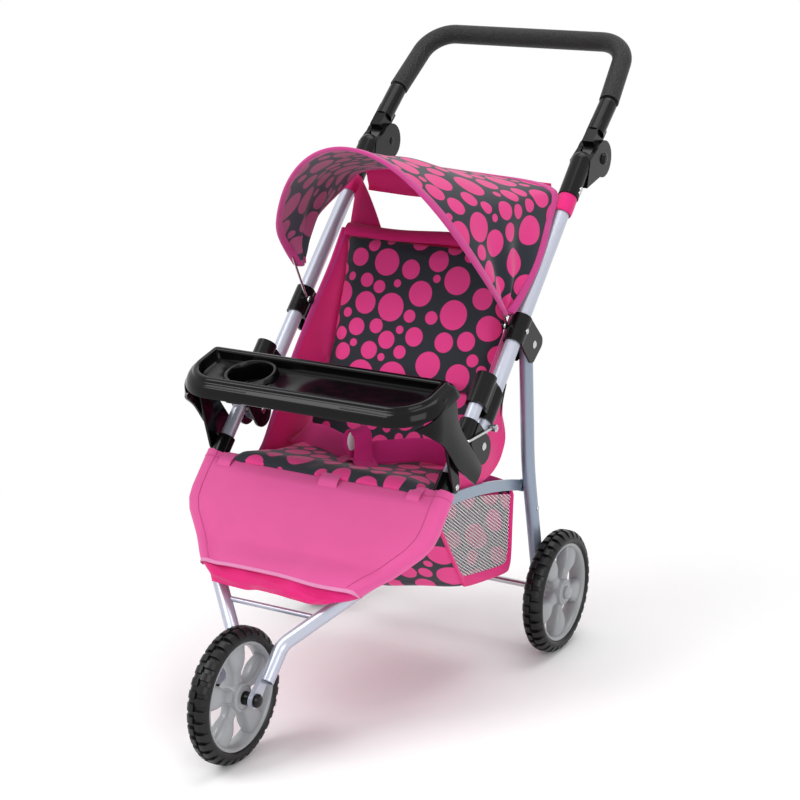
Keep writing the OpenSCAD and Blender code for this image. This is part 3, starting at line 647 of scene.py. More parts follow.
# Painted light: the canopy's own dotted cloth, lightened with paler dots on its inner face to stand in for
# light shining through it.
PAINTED_BACKLIGHT_LINING = DottedCloth("faded back of the print", "#454A58", dot="#B9628F", through=0.3)
HOT_PINK = Cloth("hot pink cloth", "#E0187A")
SOFT_PINK = Cloth("light pink cloth", "#E2559C", rough=0.6)
BINDING = Cloth("pink binding tape", "#C93C8B", weave=0.6)
BINDING_LIGHT = Cloth("light overlocked hem", "#E58FBE", weave=0.8)
BELT = Cloth("hot pink webbing", "#D01C7C", weave=0.6)
FLEECE = Cloth("white fleece tape", "#F2ECEF", rough=0.9)
NET = NetCloth("white net", "#F2EEF1")
THREAD = Cloth("pink thread", "#C9468A")
PAPER = StudioPaper("studio paper", "#FFFFFF")


# ---------------------------------------------------------------- meshes


@dataclass
class Skin:
    """A mesh under construction, in mm with y from the middle of the wheelbase.

    Attributes:
        name: Name of the finished piece.
        finish: Finish of the piece.
        points: Points that have been added.
        faces: Their quads; a triangle repeats its last point.
        uvs: Places of the points on the flat cloth, in mm.
        edges: Distances of the points to a printed dot's edge, in mm.
        count: Number of points.
        lining: Finish of a sheet's inner face, where it differs.
        lined: Numbers of the first face with the lining and of the one after the last.
    """

    name: str
    finish: Finish
    points: list[Array] = field(default_factory=list)
    faces: list[Array] = field(default_factory=list)
    uvs: list[Array] = field(default_factory=list)
    edges: list[Array] = field(default_factory=list)
    count: int = 0
    lining: Finish | None = None
    lined: tuple[int, int] = (0, 0)

    def add(self, points: Array, faces: Array, uv: Array | None = None, edge: Array | None = None) -> None:
        """Adds points and quads.

        Args:
            points: Points, in mm.
            faces: Rows of four point numbers.
            uv: Place of each point on the flat cloth, in mm.
            edge: Distance of each point to the nearest printed dot's edge, in mm.
        """
        p = points.reshape(-1, 3)
        self.points.append(p)
        self.faces.append(np.asarray(faces) + self.count)
        self.uvs.append(np.zeros((len(p), 2)) if uv is None else uv.reshape(-1, 2))
        self.edges.append(np.full(len(p), 9.0) if edge is None else edge.reshape(-1))
        self.count += len(p)

    def sheet(self, grid: Array, uv: Array, thick: float, edge: Array | None = None) -> None:
        """Adds a closed thin sheet whose outer face is the grid.

        Args:
            grid: Points of the outer face, m by n by 3.
            uv: Their places on the flat cloth, in mm.
            thick: Thickness, in mm.
            edge: Distances to the nearest printed dot's edge.
        """
        m, n = grid.shape[:2]
        du, dv = np.gradient(grid, axis=0), np.gradient(grid, axis=1)
        inner = grid - unit(np.cross(du, dv)) * thick
        ids = np.arange(m * n).reshape(m, n)
        quads = np.stack([ids[:-1, :-1], ids[1:, :-1], ids[1:, 1:], ids[:-1, 1:]], -1).reshape(-1, 4)
        rim = np.concatenate([ids[0, :], ids[1:, -1], ids[-1, -2::-1], ids[-2:0:-1, 0]])
        after = np.roll(rim, -1)
        walls = np.stack([rim, after, after + m * n, rim + m * n], -1)
        both = None if edge is None else np.concatenate([edge.reshape(-1)] * 2)
        done = sum(len(f) for f in self.faces)
        self.lined = (done + len(quads), done + 2 * len(quads))
        self.add(
            np.concatenate([grid.reshape(-1, 3), inner.reshape(-1, 3)]),
            np.concatenate([quads, quads[:, ::-1] + m * n, walls]),
            np.concatenate([uv.reshape(-1, 2)] * 2),
            both,
        )

    def sweep(self, path: Array, a: Array, b: Array, section: Array, closed: bool = False) -> None:
        """Adds a closed section swept along a path.

        Args:
            path: Points of the path, in mm.
            a: Unit vector of the section's first axis at each point.
            b: Unit vector of its second axis.
            section: Points of the section, in mm, anticlockwise seen against the path.
            closed: True for a loop.
        """
        n, k = len(path), len(section)
        grid = path[:, None] + section[None, :, :1] * a[:, None] + section[None, :, 1:] * b[:, None]
        ids = np.arange(n * k).reshape(n, k)
        nxt = np.roll(ids, -1, axis=0) if closed else ids[1:]
        cur = ids if closed else ids[:-1]
        quads = np.stack([cur, np.roll(cur, -1, 1), np.roll(nxt, -1, 1), nxt], -1).reshape(-1, 4)
        s = lengths(path)
        round_ = lengths(section)
        uv = np.stack(np.broadcast_arrays(s[:, None], round_[None, :]), -1)
        self.add(grid, quads, uv)
        if not closed:
            for row, turn in ((ids[0], -1), (ids[-1], 1)):
                ring = row[::turn]
                fan = [[ring[0], ring[i], ring[i + 1], ring[i + 1]] for i in range(1, k - 1)]
                self.faces.append(np.array(fan) + self.count - n * k)

    def stack(self, rings: Array) -> None:
        """Adds a closed solid through rings of points, with flat ends.

        Args:
            rings: Rings with the same number of points each, in mm.
        """
        rings = np.asarray(rings)
        m, k = rings.shape[:2]
        ids = np.arange(m * k).reshape(m, k)
        walls = [ids[:-1], np.roll(ids[:-1], -1, 1), np.roll(ids[1:], -1, 1), ids[1:]]
        caps = [[r[0], r[i], r[i + 1], r[i + 1]] for r in (ids[0][::-1], ids[-1]) for i in range(1, k - 1)]
        self.add(rings, np.concatenate([np.stack(walls, -1).reshape(-1, 4), caps]))

    def tube(self, path: Array, radius: float, sides: int = 12) -> None:
        """Adds a round tube along a path.

        Args:
            path: Points of the path, in mm.
            radius: Radius, in mm.
            sides: Number of sides.
        """
        a, b = frames(path)
        turn = np.linspace(0, 2 * np.pi, sides, endpoint=False)
        self.sweep(path, a, b, radius * np.stack([np.cos(turn), np.sin(turn)], 1))

    def build(self, smooth: float = 50.0) -> bpy.types.Object:
        """Makes the mesh object.

        Args:
            smooth: Edges sharper than this angle, in degrees, stay sharp.

        Returns:
            The object, in the row frame.
        """
        points = mm(np.concatenate(self.points))
        quads = np.concatenate(self.faces)
        lone = quads[:, 2] == quads[:, 3]
        faces = [tuple(q[:3]) if t else tuple(q) for q, t in zip(quads.tolist(), lone)]
        mesh = bpy.data.meshes.new(self.name)
        mesh.from_pydata(points.tolist(), [], faces)
        mesh.validate()
        dotted = isinstance(self.finish, DottedCloth)
        mark(mesh, np.concatenate(self.uvs), np.concatenate(self.edges) if dotted else None)
        piece = place(self.name, mesh, self.finish, smooth)
        if self.lining:
            mesh.materials.append(self.lining.build())
            numbers = np.zeros(len(mesh.polygons), np.int32)
            numbers[self.lined[0] : self.lined[1]] = 1
            mesh.polygons.foreach_set("material_index", numbers)
        return piece


def mark(mesh: bpy.types.Mesh, uv: Array, edge: Array | None) -> None:
    """Writes where each point lies on the flat cloth and how far it is from a printed dot's edge.

    Args:
        mesh: The mesh.
        uv: Places of its points, in mm.
        edge: Their distances, in mm, where the cloth is printed.
    """
    corner = np.zeros(len(mesh.loops), np.int32)
    mesh.loops.foreach_get("vertex_index", corner)
    layer = mesh.uv_layers.new(name="cloth")
    layer.data.foreach_set("uv", (uv[corner] / 1000).astype(np.float32).ravel())
    if edge is not None:
        attribute = mesh.attributes.new("dot_edge", "FLOAT", "POINT")
        attribute.data.foreach_set("value", edge.astype(np.float32))


def frames(path: Array) -> tuple[Array, Array]:
    """Carries two cross vectors along a path without twist.

    Args:
        path: Points of the path.

    Returns:
        The two unit vectors at each point.
    """
    d = unit(np.gradient(path, axis=0))
    a = np.zeros_like(path)
    a[0] = unit(np.cross(d[0], (0.31, 0.17, 0.93)))
    for i in range(1, len(path)):
        a[i] = unit(a[i - 1] - d[i] * (a[i - 1] @ d[i]))
    return a, np.cross(d, a)


def linked(name: str, data: bpy.types.ID) -> bpy.types.Object:
    """Makes an object and links it to the scene.

    Args:
        name: Name of the object.
        data: Its mesh, lamp or camera.

    Returns:
        The object.
    """
    made = bpy.data.objects.new(name, data)
    bpy.context.scene.collection.objects.link(made)
    return made


def place(name: str, mesh: bpy.types.Mesh, finish: Finish, smooth: float = 50.0) -> bpy.types.Object:
    """Links a mesh as a piece with outward normals and shaded edges.

    Args:
        name: Name of the piece.
        mesh: Its mesh, in the row frame.
        finish: Its finish.
        smooth: Edges sharper than this angle, in degrees, stay sharp.

    Returns:
        The object.
    """
    piece = linked(name, mesh)
    mesh.materials.clear()
    mesh.materials.append(finish.build())
    bpy.context.view_layer.objects.active = piece
    bpy.ops.object.select_all(action="DESELECT")
    piece.select_set(True)
    bpy.ops.object.mode_set(mode="EDIT")
    bpy.ops.mesh.select_all(action="SELECT")
    bpy.ops.mesh.normals_make_consistent(inside=False)
    bpy.ops.object.mode_set(mode="OBJECT")
    bpy.ops.object.shade_smooth_by_angle(angle=math.radians(smooth))
    LOG.info("piece %s: %d points, %d faces", name, len(mesh.vertices), len(mesh.polygons))
    return piece


def oval(wide: float, thick: float, k: int = 10) -> Array:
    """Gives a flattened round section.

    Args:
        wide: Full width, in mm.
        thick: Full thickness, in mm.
        k: Number of points.

    Returns:
        The section's points.
    """
    t = np.linspace(0, 2 * np.pi, k, endpoint=False)
    c, s = np.cos(t), np.sin(t)
    return np.stack([wide / 2 * np.sign(c) * np.abs(c) ** 0.5, thick / 2 * np.sign(s) * np.abs(s) ** 0.8], 1)


def declare(
    piece: bpy.types.Object, flat: tuple[float, float], parts: Sequence = ()
) -> None:
    """Logs the area of a sheet's own faces beside the flat area of the cloth that it was cut from.

    Args:
        piece: The sheet.
        flat: Width and length of the cloth that it was cut from, in metres.
        parts: Separate pieces that are sewn to it; not used.
    """
    whole = flat[0] * flat[1]
    cut = sum(face.area for face in piece.data.polygons) / 2
    LOG.info("sheet %s: %.4f m2 of %.4f", piece.name, cut, whole)
    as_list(parts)


# ---------------------------------------------------------------- repeats by Geometry Nodes


@dataclass
class RingRepeat:
    """A Geometry Nodes setup that repeats a part round an axis along X and realizes the result.

    Attributes:
        name: Name of the finished piece.
        finish: Finish of the piece.
        count: Number of repeats round the axis.
        phase: Angle of the first repeat, in degrees.
    """

    name: str
    finish: Finish
    count: int
    phase: float = 0.0

    def make(self, part: bpy.types.Object, centre: Array) -> bpy.types.Object:
        """Repeats the part and removes it.

        Args:
            part: One part, built at its first place round the origin's X axis.
            centre: Where the ring's centre goes, in mm.

        Returns:
            A plain mesh object with all the repeats.
        """
        tree = bpy.data.node_groups.new(f"{self.name}_ring", "GeometryNodeTree")
        face = tree.interface
        kinds = {"Part": "Object", "Count": "Int", "Phase": "Float", "Centre": "Vector", "Finish": "Material"}
        for label, kind in kinds.items():
            face.new_socket(label, in_out="INPUT", socket_type=f"NodeSocket{kind}")
        face.new_socket("Geometry", in_out="OUTPUT", socket_type="NodeSocketGeometry")
        add = tree.nodes.new
        start, end = add("NodeGroupInput"), add("NodeGroupOutput")
        line, info = add("GeometryNodeMeshLine"), add("GeometryNodeObjectInfo")
        number, spin = add("GeometryNodeInputIndex"), add("ShaderNodeCombineXYZ")
        step, turn, angle = (add("ShaderNodeMath") for _ in range(3))
        copies, real = add("GeometryNodeInstanceOnPoints"), add("GeometryNodeRealizeInstances")
        shift, dress = add("GeometryNodeTransform"), add("GeometryNodeSetMaterial")
        step.operation, turn.operation, angle.operation = "DIVIDE", "MULTIPLY", "ADD"
        step.inputs[0].default_value = 2 * math.pi
        line.inputs["Offset"].default_value = (0, 0, 0)
        pairs = (
            (start.outputs["Count"], line.inputs["Count"]),
            (start.outputs["Count"], step.inputs[1]),
            (number.outputs["Index"], turn.inputs[0]),
            (step.outputs[0], turn.inputs[1]),
            (turn.outputs[0], angle.inputs[0]),
            (start.outputs["Phase"], angle.inputs[1]),
            (angle.outputs[0], spin.inputs["X"]),
            (start.outputs["Part"], info.inputs["Object"]),
            (line.outputs["Mesh"], copies.inputs["Points"]),
            (info.outputs["Geometry"], copies.inputs["Instance"]),
            (spin.outputs["Vector"], copies.inputs["Rotation"]),
            (copies.outputs["Instances"], real.inputs["Geometry"]),
            (real.outputs["Geometry"], shift.inputs["Geometry"]),
            (start.outputs["Centre"], shift.inputs["Translation"]),
            (shift.outputs["Geometry"], dress.inputs["Geometry"]),
            (start.outputs["Finish"], dress.inputs["Material"]),
            (dress.outputs["Geometry"], end.inputs["Geometry"]),
        )
        for a, b in pairs:
            tree.links.new(a, b)
        host = linked(f"{self.name}_host", bpy.data.meshes.new(f"{self.name}_host"))
        ring = host.modifiers.new("ring", "NODES")
        ring.node_group = tree
        values = {
            "Part": part,
            "Count": self.count,
            "Phase": math.radians(self.phase),
            "Centre": mm(centre),
            "Finish": self.finish.build(),
        }
        for item in face.items_tree:
            if item.item_type == "SOCKET" and item.in_out == "INPUT":
                ring[item.identifier] = values[item.name]
        bpy.context.view_layer.update()
        graph = bpy.context.evaluated_depsgraph_get()
        mesh = bpy.data.meshes.new_from_object(host.evaluated_get(graph), depsgraph=graph)
        for spare in (host, part):
            bpy.data.objects.remove(spare)
        mesh.name = self.name
        return place(self.name, mesh, self.finish)


# ---------------------------------------------------------------- wheels


# Sections are given by (distance from the wheel's middle plane, radius), in mm.
TYRE_HALF = [
    (0, 71.4), (6.5, 71.2), (9.6, 69.8), (11.6, 67.4), (12.7, 64.6), (12.4, 62.6), (11.2, 61.2),
    (10.0, 60.4), (9.6, 59.9),
]
LUG_SECTION = [
    (0.9, 70.0), (0.9, 74.2), (1.5, 74.9), (5.6, 74.7), (8.6, 73.2), (11.4, 69.6), (12.4, 66.6),
    (11.2, 66.0), (8.0, 69.0),
]
RIM_HALF = [(9.4, 60.2), (10.4, 59.4), (10.6, 58.0), (9.8, 56.6), (8.0, 55.4), (5.0, 54.6), (2.4, 53.9)]
HUB_HALF = [
    (0, 15.9), (9.6, 15.9), (11.6, 15.4), (12.6, 14.2), (12.8, 13.4), (12.2, 13.1), (12.2, 12.5),
    (12.9, 12.2), (13.0, 4.2), (0, 4.2),
]
LUG_SHARE = 0.62  # length of a lug, as a share of the lugs' pitch
# Radius, half width and half depth of a spoke at each of its stations, in mm.
SPOKE_STATIONS = [
    (13.5, 8.4, 8.6), (17.5, 7.4, 8.2), (22, 6.6, 7.4), (26, 6.9, 7.4), (30, 8.6, 8.4), (35, 10.8, 9.6),
    (41, 12.6, 10.0), (47, 13.8, 9.4), (52, 14.8, 8.2), (56.5, 16.0, 7.0),
]


@dataclass
class Wheel:
    """One wheel: a tyre with two rows of lugs, and a grey rim with five swelling spokes.

    Attributes:
        label: The wheel's name in the frame's nodes, after "tyre" or "rim".
        body: The body that it turns with.
        centre: Middle of the wheel, in mm.
        phase: Angle of the first spoke from straight up, in degrees.
    """

    label: str
    body: str
    centre: Array
    phase: float
    lugs: int = 34
    spokes: int = 5

    def build(self) -> None:
        """Builds the tyre and the rim and sets them on the wheel's body."""
        self.tyre()
        self.rim()

    def nodes(self, part: str) -> str:
        """Names this wheel's CAD node of a part, which is tyre or rim."""
        place_word, _, side = self.label.partition("_")
        return f"{place_word}_{part}" + (f"_{side}" if side else "")

    def lathe(self, skin: Skin, profile: Sequence, n: int = 96) -> None:
        """Turns a closed profile round the wheel's axis.

        Args:
            skin: The mesh to add to.
            profile: Points (x, radius) in mm, in order.
            n: Number of steps round.
        """
        turn = np.linspace(0, 2 * np.pi, n, endpoint=False)
        ring = np.stack([np.zeros(n), np.sin(turn), np.cos(turn)], 1)
        middle = np.tile(self.centre, (n, 1))
        skin.sweep(middle, np.tile((1.0, 0, 0), (n, 1)), ring, np.asarray(profile, float), closed=True)

    def tyre(self) -> None:
        """Builds the carcass by turning its section, and the lugs by Geometry Nodes."""
        carcass = Skin(f"{self.label}_tyre_carcass", RUBBER)
        self.lathe(carcass, TYRE_HALF + [(-x, r) for x, r in TYRE_HALF[:0:-1]])
        tyre = carcass.build(40)
        rows = []
        for row, sign in enumerate((1, -1)):
            lug = Skin(f"{self.label}_lug{row}", RUBBER)
            self.lug(lug, sign)
            ring = RingRepeat(f"{self.label}_lugs_{row}", RUBBER, self.lugs, row * 180 / self.lugs)
            rows.append(ring.make(lug.build(30), self.centre))
        whole = join([tyre, *rows], f"{self.label}_tyre")
        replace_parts(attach(whole, self.body), self.nodes("tyre"))

    def lug(self, skin: Skin, sign: int) -> None:
        """Adds one tread block at the top of a wheel whose centre is the row frame's origin.

        Args:
            skin: The mesh to add to.
            sign: Side of the tread that the block is on.
        """
        half = math.pi * WHEEL_R / self.lugs * LUG_SHARE
        grid = []
        for y, sunk in ((-half, 0.8), (-half + 0.3, 0), (half - 0.3, 0), (half, 0.8)):
            low = np.array(LUG_SECTION) - (0, sunk)
            turn = y / WHEEL_R
            r = low[:, 1]
            grid.append(np.stack([sign * low[:, 0], r * math.sin(turn), r * math.cos(turn)], 1))
        skin.stack(np.array(grid) + (0, MID_Y, 0))

    def rim(self) -> None:
        """Builds the rim's ring and hub by turning, and the spokes by Geometry Nodes."""
        ring = Skin(f"{self.label}_rim_ring", RIM_PLASTIC)
        self.lathe(ring, RIM_HALF + [(-x, r) for x, r in RIM_HALF[::-1]])
        for sign in (1, -1):
            self.lathe(ring, [(sign * x, r) for x, r in HUB_HALF], 64)
        rim = ring.build(35)
        spoke = Skin(f"{self.label}_spoke", RIM_PLASTIC)
        self.spoke(spoke)
        ring_of = RingRepeat(f"{self.label}_spokes", RIM_PLASTIC, self.spokes, self.phase)
        spokes = ring_of.make(spoke.build(50), self.centre)
        whole = join([rim, spokes], f"{self.label}_rim")
        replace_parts(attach(whole, self.body), self.nodes("rim"))

    def spoke(self, skin: Skin) -> None:
        """Adds one bulbous spoke that rises from the hub and swells into the ring.

        Args:
            skin: The mesh to add to.
        """
        k = 20
        t = np.linspace(0, 2 * np.pi, k, endpoint=False)
        rings = []
        for r, wide, deep in SPOKE_STATIONS:
            y = wide * np.sign(np.sin(t)) * np.abs(np.sin(t)) ** 0.75
            x = deep * np.sign(np.cos(t)) * np.abs(np.cos(t)) ** 0.6
            z = np.sqrt(np.maximum(r**2 - y**2, 0)) if r > 40 else np.full(k, r)
            rings.append(np.stack([x, y, z], 1))
        skin.stack(np.array(rings) + (0, MID_Y, 0))


def join(objects: Sequence[bpy.types.Object], name: str) -> bpy.types.Object:
    """Joins pieces of one body into one object.

    Args:
        objects: The pieces; the first one keeps its data.
        name: Name of the joined piece.

    Returns:
        The joined object.
    """
    bpy.ops.object.select_all(action="DESELECT")
    for o in objects:
        o.select_set(True)
    bpy.context.view_layer.objects.active = objects[0]
    bpy.ops.object.join()
    objects[0].name = name
    objects[0].data.name = name
    return objects[0]


# ---------------------------------------------------------------- canopy

AXIS = np.array([0, math.cos(RAKE), math.sin(RAKE)])  # up the upper tubes
FORWARD = np.array([0, -math.sin(RAKE), math.cos(RAKE)])  # in front of them, square to the axis


@dataclass
class Canopy:
    """The canopy: one dotted sheet stretched from a wire arch back to the tubes, with bound edges.

    Attributes:
        half: Half of the arch's width at its feet, in mm.
        reach: Length of the arch from its feet to its crown, in mm.
        pitch: Angle of the arch's plane above the floor, in radians.
        crown: Forward bulge of the arch out of its plane, in mm.
        bend: Power that squares the arch a little; 1 is an ellipse.
        foot: Place (y, z) of its feet, in mm.
        columns: Points across the sheet.
        rows: Points from its front to its back.
    """

    half: float = 139.9
    reach: float = 224.2
    pitch: float = math.radians(43.28)
    crown: float = 60.0
    bend: float = 2 / 2.06
    foot: tuple[float, float] = (133.0, 429.0)
    columns: int = 250
    rows: int = 84

    def arch(self, angle: Array) -> Array:
        """Gives points of the front arch.

        Args:
            angle: 0 at +X to pi at -X.

        Returns:
            Points in mm.
        """
        c, s = np.cos(angle), np.sin(angle)
        rise = self.reach * np.abs(s) **self.bend
        bulge = self.crown * s**2
        x = self.half * np.sign(c) * np.abs(c) **self.bend
        y = self.foot[0] - rise * math.cos(self.pitch) + bulge * math.sin(self.pitch)
        z = self.foot[1] + rise * math.sin(self.pitch) + bulge * math.cos(self.pitch)
        return self.lift(np.stack([x, y, z], -1))

    def lift(self, points: Array) -> Array:
        """Draws the right-hand tip up, where the photographed sheet has slid up its wire."""
        near = ramp(-points[:, 0], 60, 139) * (1 - ramp(points[:, 2], 440, 560))
        return points + near[:, None] * (0, -6, 30)

    def back(self, n: int) -> Array:
        """Gives points of the rear edge, up one tube and across to the other.

        Args:
            n: Number of points.

        Returns:
            The points, in mm.
        """
        up = [
            (139.9, 133, 429), (143, 148, 439), (147, 169, 460), (149, 190, 482), (147, 210, 503),
            (143, 231, 525),
        ]
        side = up + [(138, 256, 548), (128, 262, 557), (100, 266, 562), (50, 269, 564)]
        mirrored = [(-x, y, z) for x, y, z in side[::-1]]
        edge = self.lift(smooth_path([*side, (0, 270, 565), *mirrored], n))
        slack = ramp(-edge[:, 0], 60, 130) * (1 - ramp(edge[:, 2], 500, 560)) * ramp(edge[:, 2], 455, 480)
        return edge + slack[:, None] * (np.array((8, 0, 0)) + 15 * FORWARD)

    def grid(self) -> tuple[Array, Array]:
        """Builds the sheet's outer face.

        Returns:
            The points, rows from front to back, and their places on the flat cloth.
        """
        s = np.linspace(0.006, 0.994, self.columns)
        front = spaced(self.arch(np.linspace(0, math.pi, 400)), 601)
        rear = self.back(601)
        at = s * 600
        edge_f = np.stack([np.interp(at, np.arange(601), front[:, k]) for k in range(3)], 1)
        edge_r = np.stack([np.interp(at, np.arange(601), rear[:, k]) for k in range(3)], 1)
        points = between(edge_f, edge_r, self.rows)
        outward = unit(points - (0, 165, 455))
        side = np.abs(2 * s - 1)[None, :]
        uu = np.linspace(0, 1, self.rows)[:, None]
        belly = 4 * uu * (1 - uu) * (1.5 - 9 * ramp(side, 0.35, 0.8))
        tip = ramp(side, 0.45, 0.8) * (1 - ramp(side, 0.9, 1.0))
        fan = np.sin(2 * np.pi * (2.6 * uu + 0.15 * np.sin(6 * side))) * np.sin(np.pi * uu)
        loose = 1.6 * ripple(uu, 3 * s[None, :], 5) * np.sin(np.pi * uu)
        grid = points + outward * (belly + 4.2 * tip * fan + loose)[:, :, None]
        width = np.linalg.norm(np.diff(grid, axis=0), axis=2).sum(0)
        middle = grid[self.rows // 2]
        run = lengths(middle)
        uv = np.stack(np.broadcast_arrays(run[None, :], 130 + (uu - 0.5) * width[None, :]), -1)
        return grid, uv

    def build(self) -> None:
        """Builds the sheet, its two bindings, the rear valance and the wire."""
        grid, uv = self.grid()
        prints = DotPrint(float(uv[..., 0].max()), 260.0, 21)
        # Inner face: the lightened print that paints light shining through the cloth.
        cover = Skin("canopy_sheet", CANOPY_DOTS, lining=PAINTED_BACKLIGHT_LINING)
        cover.sheet(grid, uv, CLOTH_THICK, prints.edge(uv))
        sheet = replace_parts(cover.build(70), "canopy_cover")
        across = unit(np.cross(np.gradient(grid, axis=0), np.gradient(grid, axis=1)))
        trims = []
        for name, row, step in (("canopy_front_binding", 0, 2), ("canopy_rear_binding", -1, -3)):
            trim = Skin(name, BINDING)
            path = grid[row, 2:-2]
            into = unit(grid[step, 2:-2] - path)
            trim.sweep(path + into * 4.2, into, across[row, 2:-2], oval(12.5, 4.6 if row == 0 else 3.2, 14))
            trims.append(trim.build(60))
        start, end = mm((0, 235, 560)), mm((0, 35, 560))
        for piece in (sheet, *trims):
            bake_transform(piece)
        declare(sheet, (0.66, 0.25), trims)
        self.valance()
        self.wire(grid)

    def valance(self) -> None:
        """Builds the plain pink band that hangs from the rear edge."""
        x = np.linspace(-126, 126, 60)
        v = np.linspace(0, 1, 12)[:, None]
        sway = 2.0 * ripple(x[None, :] / 250, v, 8)
        y = 268 + 6 * v + sway * v - 4 * ramp(np.abs(x), 90, 130)[None, :]
        z = 562 - 30 * v + 3 * np.sin(x / 40)[None, :] * v
        grid = np.stack(np.broadcast_arrays(x[None, :], y, z), -1)
        band = Skin("canopy_valance", HOT_PINK)
        band.sheet(grid, grid[..., (0, 2)], CLOTH_THICK)
        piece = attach(band.build(60), "upper_frame")
        declare(piece, (0.252, 0.034))

    def wire(self, grid: Array) -> None:
        """Builds the wire arch inside the front binding, down to an eye on each side."""
        inner = (grid[0] + 4.2 * unit(grid[2] - grid[0]))[4:-4:3]
        hub = along(151, 4, 132.2)
        left, right = hub + (2.2, -4, 4), hub * (-1, 1, 1) + (-2.2, -4, 4)
        steel = Skin("canopy_wire", ZINC)
        steel.tube(smooth_path([left, *inner[2:-2], right], 160), 1.5, 10)
        turn = np.linspace(0, 2 * np.pi, 24, endpoint=False)
        for sign in (1, -1):
            ring = hub * (sign, 1, 1) + 3.4 * np.stack([0 * turn, np.cos(turn), np.sin(turn)], 1)
            out = unit(ring - hub * (sign, 1, 1))
            steel.sweep(ring, np.tile((1.0, 0, 0), (24, 1)), out, oval(2.4, 2.2, 8), closed=True)
        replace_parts(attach(steel.build(), "canopy_frame"), "canopy_bow")


# ---------------------------------------------------------------- seat


@dataclass
class Pad:
    """A thin padded panel across the seat, swollen by a short cloth simulation.

    Attributes:
        name: Name of the piece.
        profile: Points (y, z) of its upper face, in mm, from one end to the other.
        half: Half of its width.
        thick: Thickness before it swells.
        seed: Seed of its dots.
        cap: Furthest that a point may move, in mm.
    """

    name: str
    profile: Sequence
    half: float
    thick: float
    seed: int
    cap: float = 5.0

    def build(self) -> bpy.types.Object:
        """Builds the pad.

        Returns:
            The padded piece, with its dots.
        """
        path = side_path(self.profile, 120)
        raw = Skin(self.name + "_raw", DOTS)
        x = np.linspace(-self.half, self.half, 50)
        flat = path[::3]
        grid = span(flat, x)
        grid[..., 0] *= 1 - 0.012 * np.sin(np.linspace(0, np.pi, len(flat)))[:, None]
        raw.sheet(grid, grid[..., :2], self.thick)
        pad = raw.build()
        self.swell(pad)
        co = np.zeros(len(pad.data.vertices) * 3)
        pad.data.vertices.foreach_get("co", co)
        co = co.reshape(-1, 3) * 1000 + (0, MID_Y, 0)
        run = lengths(path)
        nearest = np.array([np.argmin(np.sum((path[:, 1:] - c[1:]) ** 2, 1)) for c in co])
        tangent = unit(np.gradient(path, axis=0))[nearest]
        v = run[nearest] + np.sum((co - path[nearest])[:, 1:] * tangent[:, 1:], 1)
        uv = np.stack([co[:, 0] + self.half + 12, v + 12], 1)
        edge = DotPrint(2 * self.half + 24, float(run[-1]) + 24, self.seed).edge(uv)
        mesh = pad.data
        mark(mesh, uv, edge)
        bpy.data.objects.remove(pad)
        mesh.name = self.name
        return place(self.name, mesh, DOTS, 75)

    def swell(self, pad: bpy.types.Object) -> None:
        """Remeshes the pad, fills it with a little pressure and smooths it.

        Args:
            pad: The plain pad, whose mesh is replaced.
        """
        scene = bpy.context.scene
        skin = pad.modifiers.new("voxels", "REMESH")
        skin.mode, skin.voxel_size = "VOXEL", 0.005
        self.bake(pad)
        before = np.array([v.co for v in pad.data.vertices])
        cloth = pad.modifiers.new("cloth", "CLOTH")
        cloth.settings.use_pressure, cloth.settings.uniform_pressure_force = True, 4.0
        cloth.settings.effector_weights.gravity = 0
        cloth.settings.quality = 6
        for frame_number in range(1, 21):
            scene.frame_set(frame_number)
        self.bake(pad)
        after = np.array([v.co for v in pad.data.vertices])
        move = after - before
        far = np.linalg.norm(move, axis=1, keepdims=True)
        cap = self.cap / 1000
        done = before + move / np.maximum(far, 1e-9) * cap * np.tanh(far / cap)
        pad.data.vertices.foreach_set("co", done.ravel())
        scene.frame_set(1)
        fine = pad.modifiers.new("fine", "SUBSURF")
        fine.levels = 1
        self.bake(pad)

    @staticmethod
    def bake(pad: bpy.types.Object) -> None:
        """Applies the pad's modifiers.

        Args:
            pad: The object.
        """
        graph = bpy.context.evaluated_depsgraph_get()
        graph.update()
        mesh = bpy.data.meshes.new_from_object(pad.evaluated_get(graph), depsgraph=graph)
        pad.modifiers.clear()
        pad.data = mesh


